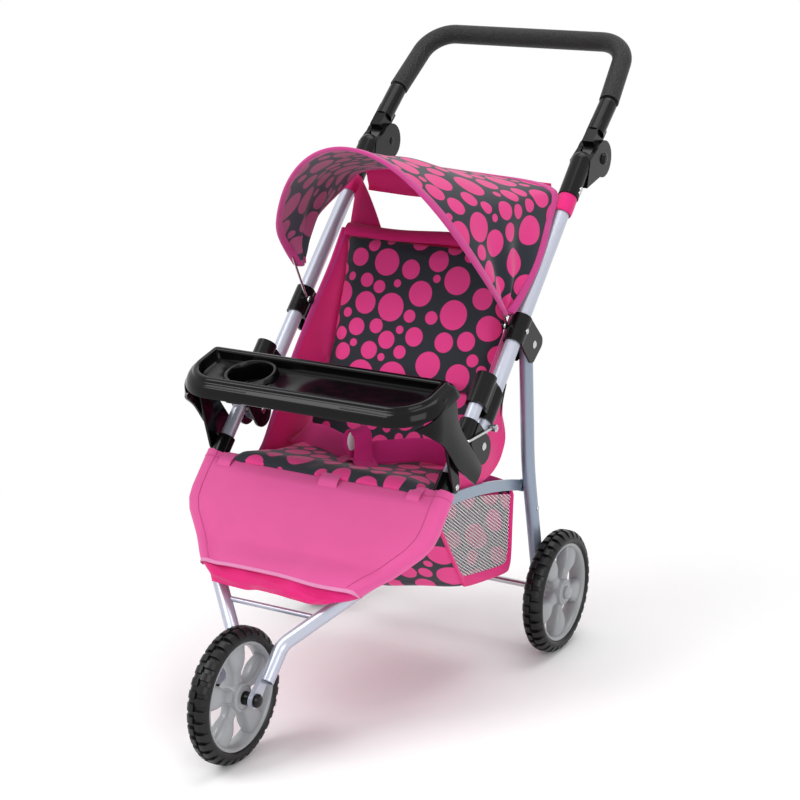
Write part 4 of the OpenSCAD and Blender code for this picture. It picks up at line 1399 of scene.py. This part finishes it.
@dataclass
class Seat:
    """The seat: two dotted pads, a crease between them, plain pink sides and the loops that carry it."""

    half: float = 126.0

    def build(self) -> None:
        """Builds every piece of the seat."""
        self.pads()
        self.crease()
        for side in Side:
            self.side(side)
            self.loop(side)

    def pads(self) -> None:
        """Builds the back and base pads and the band along the back's top."""
        back = Pad(
            "seat_back_pad",
            [(149.5, 322), (166, 365), (186, 420), (204, 471), (211.5, 493)],
            self.half - 7.5,
            6.5,
            11,
        ).build()
        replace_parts(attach(back, "upper_frame"), "seat_back")
        base = Pad(
            "seat_base_pad",
            [(-44, 264), (-36, 266), (10, 257), (60, 251), (107, 252)],
            self.half - 2,
            8.5,
            12,
        ).build()
        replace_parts(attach(base, "lower_frame"), "seat_base")
        band = Skin("seat_back_band", HOT_PINK)
        x = np.linspace(-self.half + 5, self.half - 5, 70)
        fold = side_path([(203, 488.5), (205.5, 494), (211, 499), (217, 499.5), (219.5, 492), (216, 481)], 26)
        grid = span(fold, x)
        grid[..., 2] += 1.5 * ripple(grid[..., 0] / 250, grid[..., 2] / 90, 3)
        band.sheet(grid, grid[..., (0, 2)], 0.8)
        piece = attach(band.build(60), "upper_frame")
        declare(piece, (0.254, 0.062))

    def crease(self) -> None:
        """Builds the dotted strip that joins the two pads."""
        path = side_path(
            [(104, 247), (114, 247), (128, 258), (138, 280), (143, 300), (150, 322), (160, 344)], 44
        )
        x = np.linspace(-self.half + 1, self.half - 1, 100)
        grid = span(path, x)
        run = np.linspace(0, 116, 44)
        uv = np.stack(np.broadcast_arrays(x[None, :] + 130, run[:, None]), -1)
        wave = 2.0 * ripple(uv[..., 0] / 250, uv[..., 1] / 90, 4)
        grid[..., 1] += wave * np.sin(np.pi * run / 116)[:, None]
        strip = Skin("seat_crease_sheet", DOTS)
        strip.sheet(grid, uv, CLOTH_THICK, DotPrint(260, 116, 13).edge(uv))
        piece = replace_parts(strip.build(60), "seat_crease")
        mm((0, 112, 250))
        mm((0, 146, 312))
        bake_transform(piece)
        declare(piece, (0.25, 0.118))

    def side(self, side: Side) -> None:
        """Builds one plain side, between the pads and the tube.

        Args:
            side: Which side.
        """
        front = side_path(
            [(215, 494), (186, 456), (152, 419), (100, 360), (54, 298), (30, 266), (4.5, 248)], 70
        )
        rear = side_path(
            [
                (228, 489), (208, 440), (184, 380), (162, 312), (144, 270), (126, 253), (100, 246),
                (46, 244), (4, 245),
            ],
            70,
        )
        grid = between(front, rear, 36)
        back = np.linspace(0, 1, 36)[:, None]
        wave = ripple(grid[..., 1] / 240, grid[..., 2] / 240, 17 + side.value, 6, 0.8, 3.2)
        inner = np.sin(np.pi * back)
        rise = ramp(grid[..., 2], 275, 330)
        narrow = -rise * (9.5 * back**0.7 + 8 * ramp(back, 0.87, 1.0))
        grid[..., 0] = side.value * (129.2 + 1.6 * wave * inner + narrow)
        name = f"seat_side_{side.name.lower()}"
        cloth = Skin(name + "_sheet", HOT_PINK)
        cloth.sheet(grid, grid[..., 1:], CLOTH_THICK)
        hem = Skin(name + "_hem", BINDING)
        flat = np.tile((1.0, 0, 0), (70, 1))
        inward = unit(grid[2] - grid[0])
        hem.sweep(grid[0] + inward * 2, inward, flat, oval(7, 2.4, 10))
        pieces = cloth.build(60), hem.build(60)
        for piece in pieces:
            mm((0, 62, 262))
            mm((0, 150, 350))
            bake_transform(piece)
        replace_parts(pieces[0], name)
        declare(pieces[0], (0.13, 0.36), pieces[1:])

    def loop(self, side: Side) -> None:
        """Builds the loop round one tube and the strap down to the seat back.

        Args:
            side: Which side.
        """
        centre = along(321, 0, side.value * TUBE_X)
        cloth = Skin(f"seat_loop_{side.name.lower()}", HOT_PINK)
        turn = np.linspace(0, 2 * np.pi, 40, endpoint=False)
        out = np.cos(turn)[:, None] * (1, 0, 0) + np.sin(turn)[:, None] * FORWARD
        cloth.sweep(centre + 10.6 * out, np.tile(AXIS, (40, 1)), out, oval(24, 2.0, 12), closed=True)
        k = np.linspace(0, 1, 24)[:, None]
        top = centre - (side.value * 10.4, 0, 0)
        low_in, low_out = np.array((side.value * 76, 217, 496)), np.array((side.value * 121, 217, 496))
        left = top + AXIS * 11 * (1 - k) + (low_in - top) * k + np.array((0, 0, 4)) * np.sin(np.pi * k)
        right = top - AXIS * 11 * (1 - k) + (low_out - top) * k
        grid = between(left, right, 12)
        cloth.sheet(grid, grid[..., (0, 2)], 1.2)
        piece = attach(cloth.build(60), "upper_frame")
        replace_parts(piece, "seat_straps")
        declare(piece, (0.07, 0.085))


# ---------------------------------------------------------------- leg panel, harness and basket


@dataclass
class LegPanel:
    """The plain panel from the seat's front edge down between the lower tubes."""

    top: float = -76.0  # distance of its ends along the upper tubes' line, from the fold pivot
    low: float = -212.0
    flap: float = -237.0
    base: float = 39.5  # its distance in front of the tubes' line

    def half(self, s: Array) -> Array:
        """Gives half of its width at places s along the tubes, in mm."""
        return np.interp(s, (self.low, -152, -138, -124, self.top), (92, 141, 148, 150, 150))

    def at(self, u: Array, s: Array) -> Array:
        """Gives a point of its outer face.

        Args:
            u: Place across, from -1 to 1.
            s: Place along the tubes' line, in mm.

        Returns:
            Points in mm.
        """
        edge = np.clip(np.abs(u) / 0.9, 0, 1)
        turn = np.clip((np.abs(u) - 0.9) / 0.1, 0, 1) * math.radians(112)
        x = np.sign(u) * (edge * self.half(s) + 10.6 * np.sin(turn))
        kick = 11 * ramp(s, -176, self.low) * (1 + 0.25 * np.sin(3.1 * u + 0.6))
        wrap = -10.6 * (1 - np.cos(turn)) - 6 * ramp(s, -100, self.top) * (1 - ramp(np.abs(u), 0.8, 0.9))
        free = 1 - u**2
        loose = 1.5 * ripple(u, s / 150, 31, 6, 0.4, 1.6) * free + 1.2 * np.sin(2.4 * u + s / 30) * free
        pull = 2.6 * np.exp(-(((u + 0.78) / 0.1) ** 2)) * ramp(s, -130, -175)
        t = self.base + 0.4 + kick + wrap + loose - pull
        dip = -5.0 * ramp(s, -190, self.low) * np.exp(-(((u - 0.55) / 0.4) ** 2))
        across = x[..., None] * (1, 0, 0) + FOLD
        return across + (s + dip)[..., None] * AXIS + t[..., None] * FORWARD

    def build(self) -> None:
        """Builds the panel, its stitching, its hem and the flap below it."""
        u, s = np.meshgrid(np.linspace(-1, 1, 150), np.linspace(self.top, self.low, 90))
        grid = self.at(u, s)
        main = Skin("leg_panel_sheet", SOFT_PINK)
        uv = np.stack([u * self.half(s), s], -1)
        main.sheet(grid, uv, CLOTH_THICK)
        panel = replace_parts(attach(main.build(60), "lower_frame"), "leg_panel")
        sewn = Skin("leg_panel_stitching", THREAD)
        for sign in (1, -1):
            down = np.linspace(self.top + 3, self.low + 4, 120)
            edge = np.full(120, sign) * 0.86
            self.seam(sewn, edge, down)
        self.seam(sewn, np.linspace(-0.99, 0.99, 140), np.full(140, self.top - 9))
        hem = Skin("leg_panel_hem", BINDING_LIGHT)
        across = np.linspace(-1.0, 1.0, 150)
        line = self.at(across, np.full(150, self.low))
        hem.sweep(
            line + FORWARD * 0.4, np.tile(AXIS, (150, 1)), np.tile(FORWARD, (150, 1)), oval(4.4, 2.2, 10)
        )
        tabs = Skin("seat_front_tabs", SOFT_PINK)
        for x0, wide in ((-136, 17), (0, 24), (112, 16)):
            self.tab(tabs, x0, wide)
        parts = [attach(p.build(60), "lower_frame") for p in (sewn, hem, tabs)]
        declare(panel, (0.342, 0.145), parts)
        self.fold()

    def tab(self, skin: Skin, x0: float, wide: float) -> None:
        """Adds a folded tab over the seat's front edge.

        Args:
            skin: The mesh to add to.
            x0: Its left edge, in mm.
            wide: Its width, in mm.
        """
        roll = side_path([(-51, 248), (-53.5, 258), (-50, 267.5), (-41, 272), (-30, 272)], 20)
        x = np.linspace(x0, x0 + wide, 8)
        grid = span(roll, x)
        skin.sheet(grid[::-1], grid[::-1, :, (0, 2)], CLOTH_THICK)

    def seam(self, skin: Skin, u: Array, s: Array) -> None:
        """Adds a row of stitches through places u across and s down the panel."""
        line = self.at(u, s) + FORWARD * 0.15
        skin.tube(line, 0.5, 6)

    def fold(self) -> None:
        """Builds the hot pink flap below the hem."""
        u, v = np.meshgrid(np.linspace(-1, 1, 110), np.linspace(0, 1, 26))
        top = self.at(u, np.full_like(u, self.low + 1.5)) - FORWARD * 1.6
        low = (u * 67)[..., None] * (1, 0, 0) + FOLD + self.flap * AXIS
        low = low + (57 + 3.5 * np.sin(5 * u + 1))[..., None] * FORWARD
        sag = 5 * np.sin(np.pi * v) + 1.2 * ripple(u, v, 9)
        grid = top * (1 - v[..., None]) + low * v[..., None] - sag[..., None] * FORWARD
        flap = Skin("leg_panel_flap", HOT_PINK)
        flap.sheet(grid, grid[..., (0, 2)], CLOTH_THICK)
        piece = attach(flap.build(60), "lower_frame")
        declare(piece, (0.19, 0.034))


@dataclass
class Harness:
    """Lap belts that meet in a hook-and-loop bow, and a strap between the legs."""

    wide: float = 27.0

    def ribbon(self, skin: Skin, points: Sequence, up: Sequence, wide: float) -> None:
        """Adds a flat strap.

        Args:
            skin: The mesh to add to.
            points: Points that it passes through, in mm.
            up: The direction of its width at each of them.
            wide: Width, in mm.
        """
        path = smooth_path(points, 70)
        keys = np.linspace(0, 1, len(up))
        at = np.linspace(0, 1, 70)
        width = np.stack([np.interp(at, keys, np.asarray(up, float)[:, k]) for k in range(3)], 1)
        d = unit(np.gradient(path, axis=0))
        width = unit(width - d * np.sum(width * d, 1, keepdims=True))
        skin.sweep(path, width, np.cross(d, width), oval(wide, 1.7, 14))

    def build(self) -> None:
        """Builds the belts, the bow and the crotch strap."""
        stand, lie = (0, 0.45, 0.9), (0, 1, 0.15)
        belts = Skin("harness_belts", BELT)
        knot = (12, 22, 279)
        self.ribbon(
            belts,
            [
                (122, 92, 262), (108, 84, 271), (72, 60, 282), (40, 36, 282), knot, (-8, 12, 272),
                (-20, 2, 266),
            ],
            [lie, stand, stand, stand, stand, lie, lie],
            self.wide,
        )
        self.ribbon(
            belts,
            [
                (-122, 92, 262), (-104, 80, 270), (-62, 54, 280), (-26, 34, 281), (8, 19, 281), (34, 0, 271),
                (46, -10, 266),
            ],
            [lie, stand, stand, stand, stand, lie, lie],
            self.wide,
        )
        self.ribbon(
            belts,
            [(4, -44, 270), (6, -26, 269.5), (10, -4, 268), (13, 14, 272), (12, 20, 282)],
            [(1, 0, 0), (1, 0, 0), (1, 0.1, 0), (1, 0.2, 0), (1, 0.2, 0)],
            23,
        )
        self.ribbon(
            belts,
            [(12, 16, 280), (4, 14, 296), (8, 15, 309), (18, 14, 304), (20, 12, 286), (26, 2, 269)],
            [(0.5, 0.8, 0.2)] * 6,
            22,
        )
        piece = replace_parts(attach(belts.build(60), "lower_frame"), "harness")
        fleece = Skin("harness_fleece", FLEECE)
        self.ribbon(
            fleece, [(9, 15, 284), (6.2, 15, 296), (9, 15.6, 306), (13.5, 15, 304)], [(0.5, 0.8, 0.2)] * 4, 17
        )
        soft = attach(fleece.build(60), "lower_frame")


@dataclass
class Basket:
    """The basket under the seat: a dotted front, floor and rear that sag, with open net sides."""

    half: float = 130.5

    def line(self, n: int) -> Array:
        """Gives its side outline, down the front, along the floor and up the rear.

        Args:
            n: Number of points.

        Returns:
            The points, in mm.
        """
        return side_path(
            [
                (-31, 246), (-2, 205), (30, 157), (43, 140), (52, 133), (100, 124), (150, 117), (160, 121),
                (164, 134), (166, 170), (168, 208),
            ],
            n,
        )

    def build(self) -> None:
        """Builds the dotted sling, both nets and their bindings."""
        n = 110
        path = self.line(n)
        x = np.linspace(-self.half, self.half, 110)
        out = unit(np.cross(np.gradient(path, axis=0), (1.0, 0, 0)))
        out = out * np.sign(np.sum(out * (path - (0, 85, 190)), 1, keepdims=True))
        slack = np.cos(np.pi * x / (2 * self.half))[None, :] ** 0.8
        v = np.linspace(0, 1, n)[:, None]
        loose = 2.0 * ripple(x[None, :] / 260, v, 41)
        sag = (slack * (20 * np.sin(np.pi * np.clip(v * 1.02, 0, 1)) ** 0.9 + loose))[..., None]
        grid = path[:, None] + x[None, :, None] * (1, 0, 0) + out[:, None] * sag * 0.72
        grid = grid - np.array((0, 0, 1)) * sag * 0.3
        grid[..., 2] += (12 + 12 * slack) * ramp(v, 0.84, 1.0)
        run = lengths(path)
        uv = np.stack(np.broadcast_arrays(x[None, :] + 135, run[:, None] * 1.06), -1)
        sling = Skin("basket_sling", DOTS)
        sling.sheet(grid, uv, CLOTH_THICK, DotPrint(270, float(run[-1]) * 1.08, 14).edge(uv))
        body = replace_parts(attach(sling.build(60), "side_links"), "basket")
        trims = [self.hem(grid, 0), self.hem(grid, -1)]
        declare(body, (0.27, 0.40), trims)
        for side in Side:
            self.net(side, path)

    def hem(self, grid: Array, row: int) -> bpy.types.Object:
        """Builds a top hem of the sling.

        Args:
            grid: The sling.
            row: 0 or -1.

        Returns:
            The piece.
        """
        hem = Skin(f"basket_hem_{'front' if row == 0 else 'rear'}", BINDING)
        path = grid[row]
        down = unit(grid[2 if row == 0 else -3] - path)
        outward = np.tile(np.cross((1.0, 0, 0), down[0]), (len(path), 1))
        hem.sweep(path + down * 4, down, outward, oval(11, 2.6, 12))
        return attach(hem.build(60), "side_links")

    def net(self, side: Side, path: Array) -> None:
        """Builds one net side with its bound edge.

        Args:
            side: Which side.
            path: The sling's outline.
        """
        sign = side.value
        k = np.linspace(0, 1, len(path))[:, None]
        fore, aft = np.array((0, -31, 246.0)), np.array((0, 168, 208.0))
        top = fore * (1 - k) + aft * k + np.array((0, 0, 6)) * np.sin(np.pi * k)
        grid = between(path, top, 40)
        belly = 4.5 * np.sin(np.pi * np.linspace(0, 1, 40))[:, None] * np.sin(np.pi * k[:, 0])[None, :]
        grid[..., 0] = sign * (self.half + 0.3 - belly)
        name = f"basket_net_{side.name.lower()}"
        net = Skin(name, NET)
        net.sheet(grid, grid[..., 1:], 0.15)
        bound = Skin(f"basket_binding_{side.name.lower()}", HOT_PINK)
        inward = unit(grid[2] - grid[0])
        inward[:2], inward[-2:] = inward[2], inward[-3]
        inward = np.pad(inward, ((6, 6), (0, 0)), "edge")
        mean = np.ones(13) / 13
        inward = unit(np.stack([np.convolve(inward[:, c], mean, "valid") for c in range(3)], 1))
        edge = path + np.array((sign * (self.half + 0.4), 0, 0))
        bound.sweep(edge + inward * 4.4, inward, np.tile((1.0, 0, 0), (len(path), 1)), oval(13, 3.4, 12))
        pieces = [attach(p.build(60), "side_links") for p in (net, bound)]
        declare(pieces[0], (0.2, 0.125), pieces[1:])


# ---------------------------------------------------------------- play tray


@dataclass
class Tray:
    """The gloss black play tray with its cup well, wings and posts."""

    half: float = 152.0
    depth: float = 74.0
    back: float = -27.0  # its rear edge
    top: float = 396.0  # its rim, at the rear edge
    tilt: float = math.radians(14)
    corner: float = 40.0
    cup: tuple[float, float] = (-80.0, -38.0)

    def outline(self, inset: float, n: int = 240) -> Array:
        """Gives the tray's outline, moved in.

        Args:
            inset: Distance inside the outer edge, in mm.
            n: Number of points.

        Returns:
            Points (x, y) in the tray's plane, anticlockwise from the rear left corner.
        """
        points = []
        fore, wide = -self.depth, self.corner
        for sign, y, r0, first in (
            (1, 0, 5.0, 0), (-1, 0, 5.0, 90), (-1, fore, wide, 180), (1, fore, wide, 270)
        ):
            r = max(r0 - inset, 0.8)
            cx = sign * (self.half - inset - r)
            cy = (y - inset - r) if y == 0 else (y + inset + r)
            turn = np.radians(np.linspace(first, first + 90, 24 if r0 > 10 else 8))
            points.append(np.stack([cx + r * np.cos(turn), cy + r * np.sin(turn)], 1))
        return spaced(np.concatenate([*points, points[0][:1]]), n, closed=True)

    def turned(self, points: Array) -> Array:
        """Sets points of the tray's own frame in place.

        Args:
            points: (x, y, z).

        Returns:
            The points, in mm.
        """
        c, s = math.cos(self.tilt), math.sin(self.tilt)
        x, y, z = np.moveaxis(np.asarray(points, float), -1, 0)
        return np.stack([x, self.back + y * c - z * s, self.top + y * s + z * c], -1)

    def build(self) -> None:
        """Builds the dish, its wings and its posts as one moulding."""
        dish = self.dish()
        parts = Skin("tray_parts", TRAY_PLASTIC)
        for side in Side:
            self.wing(parts, side)
            self.post(parts, side)
            self.ridge(parts, side)
        whole = join([dish, parts.build(35)], "tray_moulding")
        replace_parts(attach(whole, "lower_frame"), "tray")

    def dish(self) -> bpy.types.Object:
        """Builds the dish from loops of its outline and its cup well.

        Returns:
            The object.
        """
        # Each loop: its distance inside the outline, or its radius round the cup, and its height, in mm.
        rim = [
            (-8, -18.6), (-9.8, -19), (-10.8, -18.2), (-11, -16.8), (-7.6, -9.6), (-4.4, -5.6), (-2, -4.6),
            (-0.8, -3.8), (-0.2, -2.4), (0.5, -1.4), (1.6, -0.4), (3, 0), (5, 0), (6.2, -0.3), (7.2, -1.3),
            (7.7, -3), (8.9, -9.5), (9.8, -11.2), (12, -12),
        ]
        well = [
            (33, -12), (31.4, -11.2), (30.4, -6.5), (29.4, -4.8), (27.6, -4.2), (26, -4.6), (25.2, -5.8),
            (24.6, -20), (23.4, -26.4), (20, -28),
        ]
        under = [(22, -30.5), (26, -28.5), (27.4, -24), (27.8, -14.5)]
        inner = [(3.2, -14.5)]
        lean = np.linspace(0, 2 * np.pi, 240, endpoint=False) + math.pi / 2
        ring = np.stack([np.cos(lean), np.sin(lean)], 1)

        def loop(size: float, z: float, round_: bool) -> Array:
            flat = self.cup + size * ring if round_ else self.outline(size)
            return self.turned(np.column_stack([flat, np.full(len(flat), z)]))

        runs = ((rim, False), (well + under, True), (inner, False))
        loops = [loop(size, z, cupped) for run, cupped in runs for size, z in run]
        n, k = len(loops), 240
        first, floor = len(rim) - 1, len(rim) + len(well) - 1  # the last loops of the rim and of the well
        bridge = {first, floor, n - 2}
        mesh = bpy.data.meshes.new("tray_dish")
        points = mm(np.concatenate(loops))
        faces = []
        for i in range(n):
            if i in bridge:
                continue
            a, b = i * k, ((i + 1) % n) * k
            faces += [(a + j, a + (j + 1) % k, b + (j + 1) % k, b + j) for j in range(k)]
        faces += [tuple(range(floor * k, (floor + 1) * k))]
        faces += [tuple(range((floor + 1) * k, (floor + 2) * k))[::-1]]
        mesh.from_pydata(points.tolist(), [], faces)
        work = bmesh.new()
        work.from_mesh(mesh)
        work.edges.ensure_lookup_table()
        for level in (first, n - 2):
            low, high = level * k, (level + 2) * k
            rims = [e for e in work.edges if e.is_boundary and all(low <= v.index < high for v in e.verts)]
            bmesh.ops.triangle_fill(work, edges=rims, use_beauty=True)
        work.to_mesh(mesh)
        work.free()
        return place("tray_dish", mesh, TRAY_PLASTIC, 40)

    def wing(self, skin: Skin, side: Side) -> None:
        """Adds the wing that runs from one end of the skirt down past the tube.

        Args:
            skin: The mesh to add to.
            side: Which side.
        """
        fore = smooth_path(
            [(-66, -30, 0), (-50, -42, 0), (-30, -56, 0), (-6, -84, 0), (14, -100, 0), (33, -114, 0)], 60
        )
        aft = smooth_path(
            [(-2, 2, 0), (0, -24, 0), (5, -42, 0), (22, -64, 0), (38, -83, 0), (50, -98, 0)], 60
        )
        flat = between(fore, aft, 26)
        y, z = flat[..., 0], flat[..., 1]
        bend = np.clip(-y - (self.depth - self.corner), 0, self.corner - 1)
        round_x = self.corner - np.sqrt(self.corner**2 - bend**2)
        x = self.half + 9 * ramp(-z, -8, 14) - round_x * ramp(z, -75, -30) + 0.05 * np.maximum(-z - 10, 0)
        bow = 1.6 * np.sin(np.pi * np.linspace(0, 1, 26))[:, None]
        grid = np.stack([side.value * (x + bow), self.back + y, self.top - 10 + z], -1)
        skin.sheet(grid if side is Side.RIGHT else grid[::-1], flat[..., :2], 2.4)

    def ridge(self, skin: Skin, side: Side) -> None:
        """Adds the faint raised line on the skirt's front corner.

        Args:
            skin: The mesh to add to.
            side: Which side.
        """
        out = self.outline(-5.0, 960)
        near = [p for p in out if p[1] < -self.depth * 0.8 and 60 < side.value * p[0] < 146]
        line = spaced(np.array(sorted(near, key=lambda p: p[0])), 60)
        fall = -6.2 - 1.5 * ramp(side.value * line[:, 0], 90, 140)
        path = self.turned(np.column_stack([line, fall]))
        skin.tube(path, 0.7, 8)

    def post(self, skin: Skin, side: Side) -> None:
        """Adds the plate that stands on the tube's clip.

        Args:
            skin: The mesh to add to.
            side: Which side.
        """
        foot = along(-66, 29)[1:]
        head = np.array((self.back - 22, self.top - 26))
        lean = unit(head - foot)
        square = np.array((-lean[1], lean[0]))
        arcs = []
        for middle, r, first in ((foot, 7.5, math.pi), (head, 12.0, 0.0)):
            turn = np.linspace(first, first + math.pi, 22)
            arcs.append(middle + r * (np.cos(turn)[:, None] * square + np.sin(turn)[:, None] * lean))
        shape = spaced(np.concatenate([*arcs, arcs[0][:1]]), 72, closed=True)
        middle = shape.mean(0)
        low, high = 156.9, 160.2
        loops = []
        for x, shrink in ((low, 1.2), (low, 0.4), (low + 0.7, 0), (high - 0.7, 0), (high, 0.6), (high, 1.4)):
            ring = middle + (shape - middle) * (1 - shrink / 14)
            loops.append(np.column_stack([np.full(len(ring), side.value * x), ring]))
        skin.stack(loops)


@dataclass
class RivetHeads:
    """The small domed heads seen on the handle's bar, its sockets and the rear legs.

    Attributes:
        name: Name of the piece.
        body: The body that it rides on.
        spots: Places of the heads on the +X side: x, y, z in mm, and 1 or -1 for the way that each faces.
    """

    name: str
    body: str
    spots: Sequence

    def build(self) -> None:
        """Builds the heads on both sides."""
        skin = Skin(self.name, ZINC)
        turn = np.linspace(0, 2 * np.pi, 18, endpoint=False)
        profile = ((2.9, -0.6), (2.9, 0.4), (2.3, 1.1), (1.2, 1.5))
        for side in Side:
            for x, y, z, facing in self.spots:
                way = side.value * facing
                rings = []
                for r, height in profile:
                    out = np.full(len(turn), side.value * x + way * height)
                    rings.append(
                        np.column_stack([out, y + r * np.cos(way * turn), z + r * np.sin(way * turn)])
                    )
                skin.stack(rings)
        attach(skin.build(40), self.body)


# ---------------------------------------------------------------- plain CAD parts and studio

NODE_FINISHES = {
    ("lower_tube", "upper_tube", "fork_brace"): (SILVER_COAT, "silver_tube"),
    # Painted shade: silver coat darkened to blue grey for the rear legs and side links.
    ("rear_leg", "side_link"): (PAINTED_SHADE_COAT, "blue_grey_tube"),
    (
        "front_axle", "fold_pivot", "tray_rivets", "clamp_rivets", "leg_pivot", "latch", "rear_axle",
        "link_rivets",
    ): (ZINC, "bright_steel"),
    (
        "front_spacers", "front_axle_caps", "fold_bracket", "tray_bracket", "leg_clamp", "canopy_knobs",
        "handle_socket",
    ): (BLACK_PLASTIC, "black_plastic"),
    ("handle_pivot", "handle_hub", "rear_washers", "lock_sleeve"): (BLACK_PLASTIC, "black_plastic"),
    ("rear_hub_caps",): (RIM_PLASTIC, "grey_rim"),
    ("handle_bar",): (BLACK_COAT, "black_tube"),
    ("foam_grip",): (FOAM, "grip_foam"),
}


def dress_nodes() -> None:
    """Gives each CAD part that stays in view its finish."""
    for starts, (finish, slot) in NODE_FINISHES.items():
        for name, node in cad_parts.items():
            if node.hide_render or not name.startswith(starts):
                continue
            if name == "front_axle_caps" and name not in starts:  # it starts like the axle's name
                continue
            node.data.materials.clear()
            node.data.materials.append(finish.build())


@dataclass
class Studio:
    """White paper, soft lamps and the camera."""

    place: tuple[float, float, float] = (1.11047, -1.87784, 0.94507)
    target: tuple[float, float, float] = (-0.14665, 0.3001, 0.23071)
    lens: float = 88.22

    def build(self) -> None:
        """Builds the floor, the lamps, the world and the camera."""
        self.floor()
        self.lamp("key", (-1.6, -2.2, 2.9), 1.9, 62)
        self.lamp("fill", (2.6, -1.6, 1.5), 2.0, 34)
        self.lamp("top", (0.2, 0.6, 3.2), 2.2, 38)
        self.world()
        camera = linked("camera", bpy.data.cameras.new("camera"))
        self.aim(camera, self.place, self.target)
        camera.data.lens = self.lens
        bpy.context.scene.camera = camera
        bpy.context.scene.view_settings.view_transform = "Standard"

    def floor(self) -> None:
        """Builds the floor of studio paper."""
        mesh = bpy.data.meshes.new("floor")
        r = 14.0
        mesh.from_pydata([(-r, -r, 0), (r, -r, 0), (r, r, 0), (-r, r, 0)], [], [(0, 1, 2, 3)])
        floor = linked("floor", mesh)
        mesh.materials.append(PAPER.build())

    def lamp(self, name: str, at: Sequence, size: float, power: float) -> None:
        """Adds a soft square lamp aimed at the seat.

        Args:
            name: Its name.
            at: Its place, in metres.
            size: Its side, in metres.
            power: Its power, in watts.
        """
        data = bpy.data.lights.new(name, "AREA")
        data.size, data.energy = size, power
        self.aim(linked(name, data), at, (0, 0, 0.35))

    def aim(self, thing: bpy.types.Object, at: Sequence, target: Sequence) -> None:
        """Sets a lamp or the camera in place and turns it to a target."""
        thing.location = at
        thing.rotation_euler = (Vector(target) - Vector(at)).to_track_quat("-Z", "Y").to_euler()

    def world(self) -> None:
        """Makes the world: white to the camera and in reflections, softer as light."""
        world = bpy.data.worlds.new("studio")
        bpy.context.scene.world = world
        world.use_nodes = True
        tree = world.node_tree
        tree.nodes.clear()
        out, rays = tree.nodes.new("ShaderNodeOutputWorld"), tree.nodes.new("ShaderNodeLightPath")
        glow, power = tree.nodes.new("ShaderNodeBackground"), tree.nodes.new("ShaderNodeMapRange")
        power.inputs[3].default_value, power.inputs[4].default_value = 0.55, 1.0
        seen = tree.nodes.new("ShaderNodeMath")
        seen.operation = "MAXIMUM"
        tree.links.new(rays.outputs["Is Camera Ray"], seen.inputs[0])
        tree.links.new(rays.outputs["Is Glossy Ray"], seen.inputs[1])
        tree.links.new(seen.outputs[0], power.inputs["Value"])
        tree.links.new(power.outputs["Result"], glow.inputs["Strength"])
        glow.inputs["Color"].default_value = (1, 1, 1, 1)
        tree.links.new(glow.outputs["Background"], out.inputs["Surface"])


def main() -> None:
    """Builds every piece, dresses the CAD parts and sets the studio."""
    Wheel("front", "front_wheel", np.array((0, -AXLE_Y, WHEEL_R)), 0).build()
    for side in Side:
        label = f"rear_{side.name.lower()}"
        middle = np.array((side.value * HALF_TRACK, AXLE_Y, WHEEL_R))
        Wheel(label, f"rear_wheel_{side.name.lower()}", middle, 36).build()
    Canopy().build()
    Seat().build()
    LegPanel().build()
    Harness().build()
    Basket().build()
    Tray().build()
    RivetHeads("handle_rivet_heads", "handle", [(155, 368.9, 637, 1), (137, 368.9, 637, -1)]).build()
    RivetHeads("socket_rivet_heads", "upper_frame", [(158.5, 275, 552, 1)]).build()
    RivetHeads("leg_rivet_heads", "rear_legs", [(151.1, 194.7, 186, 1)]).build()
    dress_nodes()
    Studio().build()


if __name__ == "__main__":
    main()
